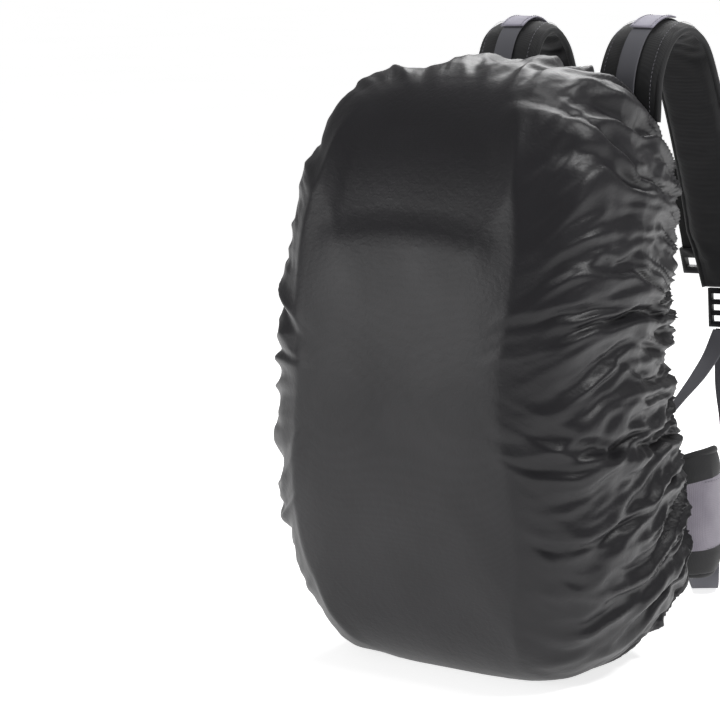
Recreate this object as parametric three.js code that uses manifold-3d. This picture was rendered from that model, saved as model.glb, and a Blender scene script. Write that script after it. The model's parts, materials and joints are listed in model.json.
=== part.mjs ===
// A hiking rucksack in its rain cover, standing on its base.
// Millimetres, +Z up. The cover's front faces -Y, the harness is on the +Y side, and the wearer's
// right is +X. The origin is the middle of the flat base.
import * as THREE from 'three';
import Module from 'manifold-3d';

const wasm = await Module();
wasm.setup();

// ---- Driving dimensions ------------------------------------------------------------------

const CLEARANCE = 0.4;

// Covered rucksack
const COVERED_HEIGHT = 650;
const COVERED_WIDTH = 412;
const FRONT_DEPTH = 150;
const BASE_SINK = 12;
const COVER_WALL = 2;
const COVER_EASE = 1;
const FRONT_BEND = { low: -20, rise: 45, at: 300 };
const BACK_PROFILE = [[0, 108], [28, 124], [97, 150], [190, 131], [300, 119], [400, 129],
  [500, 158], [545, 161], [605, 128], [650, 96]];
const BACK_ROW = 28;
const OUTLINE_POWER = 4;
const DEPTH_POWER = 3.8;
const BODY_TAPER = 0.08;
const HEM_TAPER = 0.29;
const HEM_INSET_SIDE = 42;
const HEM_INSET_END = 40;
const AROUND = 52;

// Hem cord and its lock
const ELASTIC_DIAMETER = 3.2;
const ELASTIC_STAND_OFF = 3.4;
const ELASTIC_END = 46;
const LOCK_STAND_OFF = 16;
const LOCK_DIAMETER = 17;
const LOCK_HEIGHT = 22;
const LOCK_FLOOR = 2;
const LOCK_BUTTON_DIAMETER = 10;
const LOCK_BUTTON_PROUD = 5;
const LOCK_TRAVEL = 3;
const SPRING_WIRE = 0.8;
const SPRING_TURNS = 3;

// Back system
const PIPING_DIAMETER = 8;
const PIPING_INSET = 8;
const PANEL_INSET = 16;
const PANEL_THICKNESS = 7;
const STAY_WIDTH = 25;
const STAY_THICKNESS = 3;
const STAY_SPACING = 120;
const FRAME_SHEET_THICKNESS = 1.5;
const FRAME_SHEET_INSET = 24;
const YOKE_THICKNESS = 6;
const YOKE_BOTTOM = 496;
const YOKE_TOP = 584;
const BACK_PAD_THICKNESS = 14;
const BACK_PAD_BOTTOM = 226;
const BACK_PAD_TOP = 462;
const LUMBAR_WIDTH = 196;
const LUMBAR_HEIGHT = 160;
const LUMBAR_RISE = 26;
const LUMBAR_MIDDLE = 158;

// Shoulder straps
const PAD_WIDTH = 78;
const PAD_THICKNESS = 14;
const WEBBING_WIDTH = 25;
const WEBBING_THICKNESS = 1.6;
const WEBBING_LIFT = 5.2;
const BAND_HEIGHT = 34;
const BAND_THICKNESS = 1.6;
const BAND_LEVEL = 602;
const SLIDER_LEVEL = 526;
const SLIDER_SIZE = { across: 36, along: 20, thick: 8 };
const SLIDER_EASE = 1.4;
const SLIDER_ARM = { beyond: 5, along: 10, thick: 2.2 };
const LABEL_SIZE = { across: 26, along: 74, thick: 0.8 };
const LABEL_LEVEL = 462;
const PATCH_LENGTH = 38;
const CREST_EASE = 0.8;
const LADDER_SIZE = { across: 38, along: 46, thick: 6 };
const LADDER_SLOT = { across: 28, along: 7 };
const STERNUM_WEBBING = 20;
const STERNUM_DROP = { right: 105, left: 34 };
const STERNUM_BUCKLE = { across: 26, along: 32, thick: 9 };
const STRAP_ROUTES = {
  right: [[82, 153, 589], [83, 157, 640], [84, 179, 676], [85, 212, 688], [86, 246, 672],
    [88, 272, 625], [91, 297, 560], [94, 318, 490], [97, 330, 430], [99, 330, 385]],
  left: [[-82, 151, 589], [-82, 152, 640], [-82, 167, 674], [-83, 194, 685], [-84, 222, 668],
    [-86, 248, 620], [-89, 276, 555], [-92, 301, 490], [-96, 316, 430], [-98, 316, 385]],
};

// Haul loop
const HAUL_SPAN = 62;
const HAUL_RISE = 46;
const HAUL_WIDTH = 20;
const HAUL_THICKNESS = 3;

// Hip belt
const FIN_STATIONS = [
  { at: [112, 158], low: 84, high: 196, thick: 15 },
  { at: [140, 176], low: 76, high: 210, thick: 17 },
  { at: [156, 205], low: 72, high: 216, thick: 17 },
  { at: [150, 234], low: 74, high: 214, thick: 16 },
  { at: [118, 272], low: 82, high: 198, thick: 16 },
  { at: [90, 305], low: 98, high: 170, thick: 12 },
  { at: [76, 318], low: 108, high: 152, thick: 9 },
];
const BELT_WEBBING = 38;
const BELT_LEVEL = 130;
const BUCKLE_MIDDLE_Y = 332;
const BUCKLE_HEIGHT = 52;
const BUCKLE_THICKNESS = 14;
const BUCKLE_WALL = 2.7;
const FEMALE_LENGTH = 40;
const FEMALE_MOUTH = 30;
const MALE_LENGTH = 34;
const PRONG_LENGTH = 22;
const POCKET_LENGTH = 96;
const POCKET_HEIGHT = 74;
const POCKET_THICKNESS = 7;
const POCKET_MIDDLE = 118;
const ZIP_WIDTH = 8;
const ZIP_THICKNESS = 1.4;
const ZIP_LEVEL = 168;
const ZIP_SLIDER = { along: 12, across: 9, thick: 5 };
const ZIP_PULL = { wide: 9, drop: 30, thick: 3 };

const SIDES = { right: 1, left: -1 };

// ---- Materials ---------------------------------------------------------------------------

function finish(color, roughness, metalness = 0) {
  return () => new THREE.MeshStandardMaterial({ color, roughness, metalness });
}

const coverCloth = finish(0x35343a, 0.55);
const packCloth = finish(0x232325, 0.85);
const meshCloth = finish(0x2b2b2c, 0.95);
const greyCloth = finish(0x6f6878, 0.85);
const webbingCloth = finish(0x55555a, 0.8);
const blackWebbing = finish(0x1c1c1e, 0.8);
const pipingCloth = finish(0x77747f, 0.75);
const mouldedPlastic = finish(0x151516, 0.45);
const sheetPlastic = finish(0xd8d8d2, 0.5);
const labelTape = finish(0xeeeeee, 0.6);
const alloyBar = finish(0xb8bac0, 0.35, 1);
const platedZinc = finish(0xc0c0c4, 0.3, 1);
const springSteel = finish(0x9a9aa0, 0.3, 1);
const elasticCord = finish(0x111112, 0.8);

const rucksack = new THREE.Group();

function place(name, geometry, material, parent = rucksack) {
  const mesh = new THREE.Mesh(geometry, material());
  mesh.name = name;
  parent.add(mesh);
  return mesh;
}

// ---- Closed solids from rings of points ----------------------------------------------------

// Joins rings of equal length into one closed skin, each four points split along the shorter
// diagonal; the ends are closed with fans, or joined to each other when the solid is a ring.
function skin(rings, endless = false) {
  const positions = [];
  const index = [];
  const count = rings[0].length;
  for (const ring of rings) for (const p of ring) positions.push(p.x, p.y, p.z);
  const bands = endless ? rings.length : rings.length - 1;
  for (let r = 0; r < bands; r += 1) {
    const after = (r + 1) % rings.length;
    const here = r * count;
    const next = after * count;
    for (let i = 0; i < count; i += 1) {
      const j = (i + 1) % count;
      const rising = rings[r][i].distanceTo(rings[after][j]);
      const falling = rings[r][j].distanceTo(rings[after][i]);
      if (rising < falling) {
        index.push(here + i, here + j, next + j, here + i, next + j, next + i);
      } else index.push(here + i, here + j, next + i, here + j, next + j, next + i);
    }
  }
  if (!endless) {
    closeEnd(positions, index, rings[0], 0, true);
    closeEnd(positions, index, rings[rings.length - 1], (rings.length - 1) * count, false);
  }
  const geometry = new THREE.BufferGeometry();
  geometry.setAttribute('position', new THREE.Float32BufferAttribute(positions, 3));
  geometry.setIndex(index);
  return outward(geometry);
}

function closeEnd(positions, index, ring, start, first) {
  const middle = new THREE.Vector3();
  for (const p of ring) middle.add(p);
  middle.divideScalar(ring.length);
  const centre = positions.length / 3;
  positions.push(middle.x, middle.y, middle.z);
  for (let i = 0; i < ring.length; i += 1) {
    const j = (i + 1) % ring.length;
    if (first) index.push(centre, start + j, start + i);
    else index.push(centre, start + i, start + j);
  }
}

// Turns every face over when the signed volume says that the skin is inside out.
function outward(geometry) {
  const at = geometry.getAttribute('position');
  const order = geometry.getIndex().array;
  const a = new THREE.Vector3();
  const b = new THREE.Vector3();
  const c = new THREE.Vector3();
  let volume = 0;
  for (let i = 0; i < order.length; i += 3) {
    a.fromBufferAttribute(at, order[i]);
    b.fromBufferAttribute(at, order[i + 1]);
    c.fromBufferAttribute(at, order[i + 2]);
    volume += a.dot(b.cross(c));
  }
  if (volume < 0) geometry.setIndex(Array.from(order).reverse());
  return geometry;
}

function toSolid(geometry) {
  const keys = new Map();
  const vertProperties = [];
  const at = geometry.getAttribute('position');
  const order = geometry.getIndex()
    ? Array.from(geometry.getIndex().array)
    : Array.from({ length: at.count }, (_, i) => i);
  const triVerts = order.map((i) => {
    const key = [at.getX(i), at.getY(i), at.getZ(i)].map((v) => Math.round(v * 1e4) + 0).join();
    if (!keys.has(key)) {
      keys.set(key, keys.size);
      vertProperties.push(at.getX(i), at.getY(i), at.getZ(i));
    }
    return keys.get(key);
  });
  const faces = [];
  for (let i = 0; i < triVerts.length; i += 3) {
    const [p, q, r] = triVerts.slice(i, i + 3);
    if (p !== q && q !== r && r !== p) faces.push(p, q, r);
  }
  return new wasm.Manifold(new wasm.Mesh({
    numProp: 3,
    vertProperties: new Float32Array(vertProperties),
    triVerts: new Uint32Array(faces),
  }));
}

function toGeometry(solid) {
  const mesh = solid.getMesh();
  const geometry = new THREE.BufferGeometry();
  geometry.setAttribute('position', new THREE.BufferAttribute(mesh.vertProperties, 3));
  geometry.setIndex(new THREE.BufferAttribute(mesh.triVerts, 1));
  return geometry;
}

function cut(geometry, ...tools) {
  return toGeometry(tools.reduce((solid, tool) => solid.subtract(toSolid(tool)), toSolid(geometry)));
}

function join(geometry, ...others) {
  return toGeometry(others.reduce((solid, other) => solid.add(toSolid(other)), toSolid(geometry)));
}

// A box from its lowest to its highest corner.
function box(low, high) {
  const size = high.map((v, i) => v - low[i]);
  const middle = high.map((v, i) => (v + low[i]) / 2);
  return new THREE.BoxGeometry(...size).translate(...middle);
}

// ---- Sweeps: straps, pads and fins ---------------------------------------------------------

const FLAT = [[-0.5, -0.5], [0.5, -0.5], [0.5, 0.5], [-0.5, 0.5]];
const PADDED = [[-0.5, -0.15], [-0.4, -0.5], [0.4, -0.5], [0.5, -0.15], [0.5, 0.15], [0.4, 0.5],
  [-0.4, 0.5], [-0.5, 0.15]];

// One ring of a sweep: `wide` is the direction of the width, kept square to the route.
function crossSection(section, centre, tangent, wide, width, thickness) {
  const side = wide.clone().addScaledVector(tangent, -wide.dot(tangent)).normalize();
  const normal = new THREE.Vector3().crossVectors(side, tangent).normalize();
  return section.map(([u, v]) => centre.clone()
    .addScaledVector(side, u * width)
    .addScaledVector(normal, v * thickness));
}

function curve(points) {
  return new THREE.CatmullRomCurve3(points.map((p) => new THREE.Vector3(...p)));
}

// A flat strap along a list of points, its width turning through a list of directions.
function strap(points, width, thickness, steps, ...wides) {
  const route = curve(points);
  const turns = wides.map((wide) => new THREE.Vector3(...wide));
  const rings = [];
  for (let i = 0; i <= steps; i += 1) {
    const t = i / steps;
    const turn = t * (turns.length - 1);
    const before = Math.min(Math.floor(turn), Math.max(turns.length - 2, 0));
    const after = Math.min(before + 1, turns.length - 1);
    const wide = turns[before].clone().lerp(turns[after], turn - before);
    rings.push(crossSection(FLAT, route.getPointAt(t), route.getTangentAt(t), wide, width,
      thickness));
  }
  return skin(rings);
}

// ---- The rucksack's form -------------------------------------------------------------------

const HALF_HEIGHT = (COVERED_HEIGHT + BASE_SINK) / 2;
const MIDDLE_LEVEL = COVERED_HEIGHT - HALF_HEIGHT;
const HALF_WIDTH = COVERED_WIDTH / 2;

// The back surface: a smooth curve through the profile, taken in straight rows so that every
// layer of the back system has its corners at the same levels.
const backCurve = new THREE.SplineCurve(BACK_PROFILE.map(([z, y]) => new THREE.Vector2(z, y)));
const backRows = (() => {
  const rows = [];
  const fine = backCurve.getPoints(400);
  for (let z = 0; z <= COVERED_HEIGHT; z += BACK_ROW) {
    const next = fine.findIndex((p) => p.x >= z);
    const before = fine[Math.max(next - 1, 0)];
    const after = fine[next];
    const share = after.x > before.x ? (z - before.x) / (after.x - before.x) : 0;
    rows.push({ z, y: before.y + (after.y - before.y) * share });
  }
  return rows;
})();

function backY(z) {
  const last = backRows.length - 2;
  const row = Math.min(Math.max(Math.floor(z / BACK_ROW), 0), last);
  const share = (z - backRows[row].z) / BACK_ROW;
  return backRows[row].y + (backRows[row + 1].y - backRows[row].y) * share;
}

function middleY(z) {
  const t = (z - FRONT_BEND.at) / (COVERED_HEIGHT / 2);
  return FRONT_BEND.low + FRONT_BEND.rise * t * t;
}

function power(value, exponent) {
  return Math.sign(value) * Math.abs(value) ** exponent;
}

// Directions round the outline, [across, up] from -1 to 1, evenly spaced along its length.
const outlineSteps = (() => {
  const fine = [];
  for (let i = 0; i <= 2000; i += 1) {
    const angle = (i / 2000) * Math.PI * 2;
    fine.push(new THREE.Vector2(power(Math.cos(angle), 2 / OUTLINE_POWER) * HALF_WIDTH,
      power(Math.sin(angle), 2 / OUTLINE_POWER) * HALF_HEIGHT));
  }
  const travelled = [0];
  for (let i = 1; i < fine.length; i += 1) {
    travelled.push(travelled[i - 1] + fine[i].distanceTo(fine[i - 1]));
  }
  const whole = travelled[travelled.length - 1];
  return Array.from({ length: AROUND }, (_, i) => {
    const point = fine[travelled.findIndex((d) => d >= ((i + 0.5) / AROUND) * whole)];
    return [point.x / HALF_WIDTH, point.y / HALF_HEIGHT];
  });
})();

// One ring round the rucksack: a rounded outline in X and Z, flat where it stands, whose depth
// comes from its level. `inset` draws it in from the top and the base.
function outline(halfWidth, halfHeight, taper, inset, depthAt) {
  return outlineSteps.map(([across, up]) => {
    const level = Math.max(MIDDLE_LEVEL + halfHeight * up, 0) / COVERED_HEIGHT;
    const z = inset + level * (COVERED_HEIGHT - 2 * inset);
    const x = halfWidth * (1 - taper * level) * across;
    return new THREE.Vector3(x, depthAt(z), z);
  });
}

const FRONT_RINGS = [0.14, 0.3, 0.45, 0.6, 0.75, 0.88, 1];
const BACK_RINGS = [0.3, 0.6, 0.82, 1];

// The rucksack's surface moved inwards by `inset`, from the middle of its front to the hem.
function bodyRings(inset) {
  const wide = HALF_WIDTH - inset;
  const rings = [];
  for (const step of FRONT_RINGS) {
    const angle = (step * Math.PI) / 2;
    const scale = Math.sin(angle) ** (2 / DEPTH_POWER);
    const depth = (FRONT_DEPTH - inset) * Math.cos(angle) ** (2 / DEPTH_POWER);
    rings.push(outline(wide * scale, HALF_HEIGHT * scale, BODY_TAPER, inset,
      (z) => middleY(z) - depth));
  }
  for (const step of BACK_RINGS) {
    const angle = (step * Math.PI) / 2;
    const share = Math.sin(angle);
    const turnedIn = 1 - Math.cos(angle);
    const taper = BODY_TAPER + (HEM_TAPER - BODY_TAPER) * share;
    rings.push(outline(wide - HEM_INSET_SIDE * turnedIn, HALF_HEIGHT - HEM_INSET_END * turnedIn,
      taper, inset, (z) => middleY(z) + (backY(z) - inset - middleY(z)) * share));
  }
  return rings;
}

// Half the width of a back layer at a level; `inset` is counted from the hem.
function backHalfWidth(z, inset) {
  const share = Math.abs(z - MIDDLE_LEVEL) / (HALF_HEIGHT - HEM_INSET_END - inset);
  const across = Math.max(1 - share ** OUTLINE_POWER, 0) ** (1 / OUTLINE_POWER);
  return (HALF_WIDTH - HEM_INSET_SIDE - inset) * across * (1 - (HEM_TAPER * z) / COVERED_HEIGHT);
}

// A layer that lies on the back surface between two levels and two offsets from it.
function backLayer(low, high, spanAt, near, far) {
  const levels = [low, ...backRows.map((row) => row.z).filter((z) => z > low + 1 && z < high - 1),
    high];
  return skin(levels.map((z) => {
    const [left, right] = spanAt(z);
    return [[left, near], [right, near], [right, far], [left, far]]
      .map(([x, offset]) => new THREE.Vector3(x, backY(z) + offset, z));
  }));
}

const REACH = 600;
const STACK = {
  sheet: [-(PANEL_THICKNESS + STAY_THICKNESS + FRAME_SHEET_THICKNESS + 2 * CLEARANCE),
    -(PANEL_THICKNESS + STAY_THICKNESS + 2 * CLEARANCE)],
  stay: [-(PANEL_THICKNESS + STAY_THICKNESS + CLEARANCE), -(PANEL_THICKNESS + CLEARANCE)],
  panel: [-PANEL_THICKNESS, 0],
};

// Everything on one side of the back surface, as a tool for trimming.
function beyondBack(near, far) {
  return backLayer(-REACH, REACH * 2, () => [-REACH, REACH], near, far);
}

function trimToBack(geometry, offset) {
  return cut(geometry, beyondBack(-REACH, offset));
}

// ---- Cover and hem cord --------------------------------------------------------------------

const hemLow = MIDDLE_LEVEL - (HALF_HEIGHT - HEM_INSET_END);

function makeCover() {
  place('cover_shell', skin([...bodyRings(0), ...bodyRings(COVER_WALL).reverse()]), coverCloth);
}

const lockY = backY(hemLow) + ELASTIC_STAND_OFF + LOCK_DIAMETER / 2 + LOCK_STAND_OFF;
const cordGap = ELASTIC_DIAMETER / 2 + CLEARANCE / 2;

// The cord runs round the hem and leaves it at the bottom, both ends side by side.
function makeHemCord() {
  const route = outline(HALF_WIDTH - HEM_INSET_SIDE, HALF_HEIGHT - HEM_INSET_END, HEM_TAPER, 0,
    (z) => backY(z) + ELASTIC_STAND_OFF);
  const bottom = (3 * AROUND) / 4;
  const round = [...route.slice(bottom + 1), ...route.slice(0, bottom - 1)];
  const endAt = (side) => [
    new THREE.Vector3(side * 12, backY(hemLow) + ELASTIC_STAND_OFF, hemLow),
    new THREE.Vector3(side * cordGap, backY(hemLow) + ELASTIC_STAND_OFF + 7, hemLow),
    new THREE.Vector3(side * cordGap, backY(hemLow) + ELASTIC_STAND_OFF + ELASTIC_END, hemLow),
  ];
  const points = [...endAt(1).reverse(), ...round, ...endAt(-1)];
  const path = new THREE.CatmullRomCurve3(points, false, 'chordal');
  const section = new THREE.Shape();
  section.absarc(0, 0, ELASTIC_DIAMETER / 2, 0, Math.PI * 2);
  const cord = new THREE.ExtrudeGeometry(section, {
    steps: 84, extrudePath: path, curveSegments: 3, bevelEnabled: false,
  });
  place('hem_elastic', cord, elasticCord);
}

function makeCordLock() {
  const lock = new THREE.Group();
  lock.position.set(0, lockY, hemLow);
  rucksack.add(lock);
  const bottom = -LOCK_HEIGHT / 2;
  const top = LOCK_HEIGHT / 2;
  const wellRadius = LOCK_BUTTON_DIAMETER / 2 + CLEARANCE;
  const upright = (radius, low, high) => new THREE.CylinderGeometry(radius, radius, high - low, 20)
    .rotateX(Math.PI / 2).translate(0, 0, (low + high) / 2);
  const halfPair = ELASTIC_DIAMETER + CLEARANCE * 2;
  const halfCord = ELASTIC_DIAMETER / 2 + CLEARANCE;
  const passage = box([-halfPair, -LOCK_DIAMETER, -halfCord], [halfPair, LOCK_DIAMETER, halfCord]);
  place('cord_lock_body', cut(upright(LOCK_DIAMETER / 2, bottom, top),
    upright(wellRadius, bottom + LOCK_FLOOR, top + 1), passage), mouldedPlastic, lock);
  const window = box([-halfPair, -LOCK_DIAMETER, -halfCord],
    [halfPair, LOCK_DIAMETER, halfCord + LOCK_TRAVEL]);
  const button = upright(LOCK_BUTTON_DIAMETER / 2, -halfCord - SPRING_WIRE, top + LOCK_BUTTON_PROUD);
  place('cord_lock_button', cut(button, window), mouldedPlastic, lock);
  place('cord_lock_spring', coil(bottom + LOCK_FLOOR + SPRING_WIRE, -halfCord - 2 * SPRING_WIRE),
    springSteel, lock);
}

function coil(low, high) {
  const turns = [];
  const radius = LOCK_BUTTON_DIAMETER / 2 - SPRING_WIRE;
  const perTurn = 10;
  for (let i = 0; i <= SPRING_TURNS * perTurn; i += 1) {
    const angle = (i / perTurn) * Math.PI * 2;
    const share = i / (SPRING_TURNS * perTurn);
    turns.push(new THREE.Vector3(Math.cos(angle) * radius, Math.sin(angle) * radius,
      low + (high - low) * share));
  }
  const wire = new THREE.Shape();
  wire.absarc(0, 0, SPRING_WIRE / 2, 0, Math.PI * 2);
  return new THREE.ExtrudeGeometry(wire, {
    steps: SPRING_TURNS * perTurn,
    extrudePath: new THREE.CatmullRomCurve3(turns),
    curveSegments: 3,
    bevelEnabled: false,
  });
}

// ---- Pack body and back system -------------------------------------------------------------

function makeBack() {
  const inset = COVER_WALL + COVER_EASE;
  const full = bodyRings(inset);
  const rim = full[full.length - 1];
  const middle = new THREE.Vector3(0, backY(MIDDLE_LEVEL), MIDDLE_LEVEL);
  full.push(rim.map((p) => p.clone().lerp(middle, 0.5)));
  place('pack_body', cut(skin(full), beyondBack(STACK.sheet[0] - CLEARANCE, REACH)), packCloth);

  const panelLow = hemLow + PANEL_INSET;
  const panelHigh = 2 * MIDDLE_LEVEL - panelLow;
  const spanWith = (extra) => (z) => {
    const half = backHalfWidth(z, extra);
    return [-half, half];
  };
  const sheetMargin = FRAME_SHEET_INSET - PANEL_INSET;
  place('frame_sheet', backLayer(panelLow + sheetMargin, panelHigh - sheetMargin,
    spanWith(FRAME_SHEET_INSET - sheetMargin), ...STACK.sheet), sheetPlastic);
  for (const [name, side] of Object.entries(SIDES)) {
    const x = (side * STAY_SPACING) / 2;
    place(`frame_stay_${name}`, backLayer(panelLow + STAY_WIDTH, panelHigh - STAY_WIDTH,
      () => [x - STAY_WIDTH / 2, x + STAY_WIDTH / 2], ...STACK.stay), alloyBar);
  }
  const blunt = 6;
  place('back_panel', backLayer(panelLow + blunt, panelHigh - blunt, spanWith(PANEL_INSET),
    ...STACK.panel), meshCloth);
  place('yoke_panel', backLayer(YOKE_BOTTOM, YOKE_TOP, spanWith(PANEL_INSET + blunt), CLEARANCE,
    CLEARANCE + YOKE_THICKNESS), greyCloth);
  makePiping();
  makeBackPads();
  makeLumbarPad();
}

function makePiping() {
  const centre = outline(HALF_WIDTH - HEM_INSET_SIDE - PIPING_INSET,
    HALF_HEIGHT - HEM_INSET_END - PIPING_INSET, HEM_TAPER, 0, (z) => backY(z) - 1);
  const route = new THREE.CatmullRomCurve3(centre, true, 'chordal');
  const rings = [];
  const sides = 6;
  const ahead = new THREE.Vector3(0, 1, 0);
  const round = Array.from({ length: sides }, (_, i) => {
    const angle = (i / sides) * Math.PI * 2;
    return [Math.cos(angle) / 2, Math.sin(angle) / 2];
  });
  for (let i = 0; i < 60; i += 1) {
    const t = i / 60;
    rings.push(crossSection(round, route.getPointAt(t), route.getTangentAt(t), ahead,
      PIPING_DIAMETER, PIPING_DIAMETER));
  }
  place('back_piping', skin(rings, true), pipingCloth);
}

// Two crescent pads: the inner edge swells towards the spine, the outer follows the panel.
function makeBackPads() {
  const middle = (BACK_PAD_TOP + BACK_PAD_BOTTOM) / 2;
  const half = (BACK_PAD_TOP - BACK_PAD_BOTTOM) / 2;
  for (const [name, side] of Object.entries(SIDES)) {
    const span = (z) => {
      const outer = backHalfWidth(z, PANEL_INSET) - 26;
      const swell = Math.sqrt(Math.max(1 - ((z - middle) / half) ** 2, 0));
      const inner = outer - 14 - 58 * swell;
      return side > 0 ? [inner, outer] : [-outer, -inner];
    };
    place(`back_pad_${name}`, backLayer(BACK_PAD_BOTTOM, BACK_PAD_TOP, span, CLEARANCE,
      CLEARANCE + BACK_PAD_THICKNESS), greyCloth);
  }
}

function makeLumbarPad() {
  const dome = new THREE.SphereGeometry(1, 28, 14)
    .scale(LUMBAR_WIDTH / 2, LUMBAR_RISE, LUMBAR_HEIGHT / 2)
    .translate(0, backY(LUMBAR_MIDDLE), LUMBAR_MIDDLE);
  place('lumbar_pad', trimToBack(dome, CLEARANCE), packCloth);
}

// ---- Shoulder straps -----------------------------------------------------------------------

const ACROSS = new THREE.Vector3(1, 0, 0);
const routes = {
  right: curve(STRAP_ROUTES.right),
  left: curve(STRAP_ROUTES.left),
};

// A place on a shoulder strap: its middle, its direction and the way out of its outer face.
function strapFrame(name, share) {
  const at = routes[name].getPointAt(share);
  const along = routes[name].getTangentAt(share);
  const side = ACROSS.clone().addScaledVector(along, -ACROSS.dot(along)).normalize();
  const out = new THREE.Vector3().crossVectors(side, along).normalize();
  return { at, along, side, out };
}

// The share of the route, on its way down, where the strap reaches a level.
function shareAtLevel(name, level) {
  let share = 0.4;
  while (share < 1 && routes[name].getPointAt(share).z > level) share += 0.002;
  return share;
}

// A layer on the strap's outer face between two shares of its length.
function onStrap(name, from, to, steps, width, thickness, lift) {
  const rings = [];
  for (let i = 0; i <= steps; i += 1) {
    const place3 = strapFrame(name, from + ((to - from) * i) / steps);
    const centre = place3.at.clone().addScaledVector(place3.out, lift);
    rings.push(crossSection(FLAT, centre, place3.along, place3.side, width, thickness));
  }
  return skin(rings);
}

const padFace = PAD_THICKNESS / 2;
const webbingLift = padFace + WEBBING_LIFT;
const overWebbing = webbingLift + WEBBING_THICKNESS / 2 + CLEARANCE;

function makeShoulderStrap(name) {
  const steps = 26;
  const rings = [];
  for (let i = 0; i <= steps; i += 1) {
    const share = i / steps;
    const frame = strapFrame(name, share);
    const narrow = 1 - 0.45 * Math.max(share - 0.86, 0) / 0.14;
    rings.push(crossSection(PADDED, frame.at, frame.along, frame.side, PAD_WIDTH * narrow,
      PAD_THICKNESS));
  }
  place(`shoulder_pad_${name}`, skin(rings), packCloth);
  place(`strap_webbing_${name}`, onStrap(name, 0.02, 0.985, 26, WEBBING_WIDTH, WEBBING_THICKNESS,
    webbingLift), webbingCloth);
  const length = routes[name].getLength();
  const bandAt = shareAtLevel(name, BAND_LEVEL);
  const halfBand = BAND_HEIGHT / 2 / length;
  place(`strap_band_${name}`, onStrap(name, bandAt - halfBand, bandAt + halfBand, 3, PAD_WIDTH + 6,
    BAND_THICKNESS, overWebbing + BAND_THICKNESS / 2), webbingCloth);
  const halfPatch = PATCH_LENGTH / 2 / length;
  place(`strap_patch_${name}`, onStrap(name, 0.25 - halfPatch, 0.25 + halfPatch, 4,
    WEBBING_WIDTH + 6, BAND_THICKNESS, overWebbing + BAND_THICKNESS / 2 + CREST_EASE), pipingCloth);
}

// A group whose X is across the strap, Y out of its outer face and Z up along it.
function strapGroup(frame, lift) {
  const group = new THREE.Group();
  const up = frame.along.clone().negate();
  const basis = new THREE.Matrix4().makeBasis(frame.side, frame.out, up);
  group.quaternion.setFromRotationMatrix(basis);
  group.position.copy(frame.at.clone().addScaledVector(frame.out, lift));
  rucksack.add(group);
  return group;
}

function frameWithSlots(outer, thick, slots) {
  const body = box([-outer.across / 2, -thick / 2, -outer.along / 2],
    [outer.across / 2, thick / 2, outer.along / 2]);
  const tools = slots.map((slot) => box([-slot.across / 2, -thick, slot.at - slot.along / 2],
    [slot.across / 2, thick, slot.at + slot.along / 2]));
  return cut(body, ...tools);
}

function makeSternumHalf(name, side) {
  const frame = strapFrame(name, shareAtLevel(name, SLIDER_LEVEL));
  const slider = strapGroup(frame, webbingLift);
  const { across, along, thick } = SLIDER_SIZE;
  const body = box([-across / 2, -thick / 2, -along / 2], [across / 2, thick / 2, along / 2]);
  const passage = box([-WEBBING_WIDTH / 2 - SLIDER_EASE, -WEBBING_THICKNESS / 2 - SLIDER_EASE,
    -along], [WEBBING_WIDTH / 2 + SLIDER_EASE, WEBBING_THICKNESS / 2 + SLIDER_EASE, along]);
  const inner = -side;
  const edge = PAD_WIDTH / 2 + STERNUM_WEBBING / 2 + 2;
  const behind = -WEBBING_THICKNESS / 2 - CLEARANCE;
  const armEnds = [inner * (across / 2 - 1), inner * (edge + SLIDER_ARM.beyond)];
  const arm = box([Math.min(...armEnds), behind - SLIDER_ARM.thick, -SLIDER_ARM.along / 2],
    [Math.max(...armEnds), behind, SLIDER_ARM.along / 2]);
  place(`sternum_slider_${name}`, join(cut(body, passage), cut(arm, passage)), mouldedPlastic,
    slider);
  const drop = STERNUM_DROP[name];
  const hang = strap([[inner * edge, 0, SLIDER_ARM.along / 2], [inner * edge, 0, -drop / 3],
    [inner * edge, 0, -drop * 0.7], [inner * edge, 0, -drop]], STERNUM_WEBBING, WEBBING_THICKNESS,
  8, [inner, 0, 0]);
  place(`sternum_strap_${name}`, hang, blackWebbing, slider);
  const top = -drop - CLEARANCE;
  const clip = box([inner * edge - STERNUM_BUCKLE.across / 2, -STERNUM_BUCKLE.thick / 2,
    top - STERNUM_BUCKLE.along], [inner * edge + STERNUM_BUCKLE.across / 2,
    STERNUM_BUCKLE.thick / 2, top]);
  const window = box([inner * edge - 8, -STERNUM_BUCKLE.thick, top - 24],
    [inner * edge + 8, STERNUM_BUCKLE.thick, top - 12]);
  place(side > 0 ? 'sternum_buckle_female' : 'sternum_buckle_male', cut(clip, window),
    mouldedPlastic, slider);
}

const ladderSlots = [-1, 0, 1].map((row) => ({ ...LADDER_SLOT, at: row * 13 }));

function makeLadderLock(name) {
  const end = strapFrame(name, 1);
  const lock = strapGroup(end, padFace);
  const drop = LADDER_SIZE.along / 2 + 2;
  place(`ladder_lock_${name}`, frameWithSlots(LADDER_SIZE, LADDER_SIZE.thick, ladderSlots)
    .translate(0, 0, -drop), mouldedPlastic, lock);
}

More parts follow.
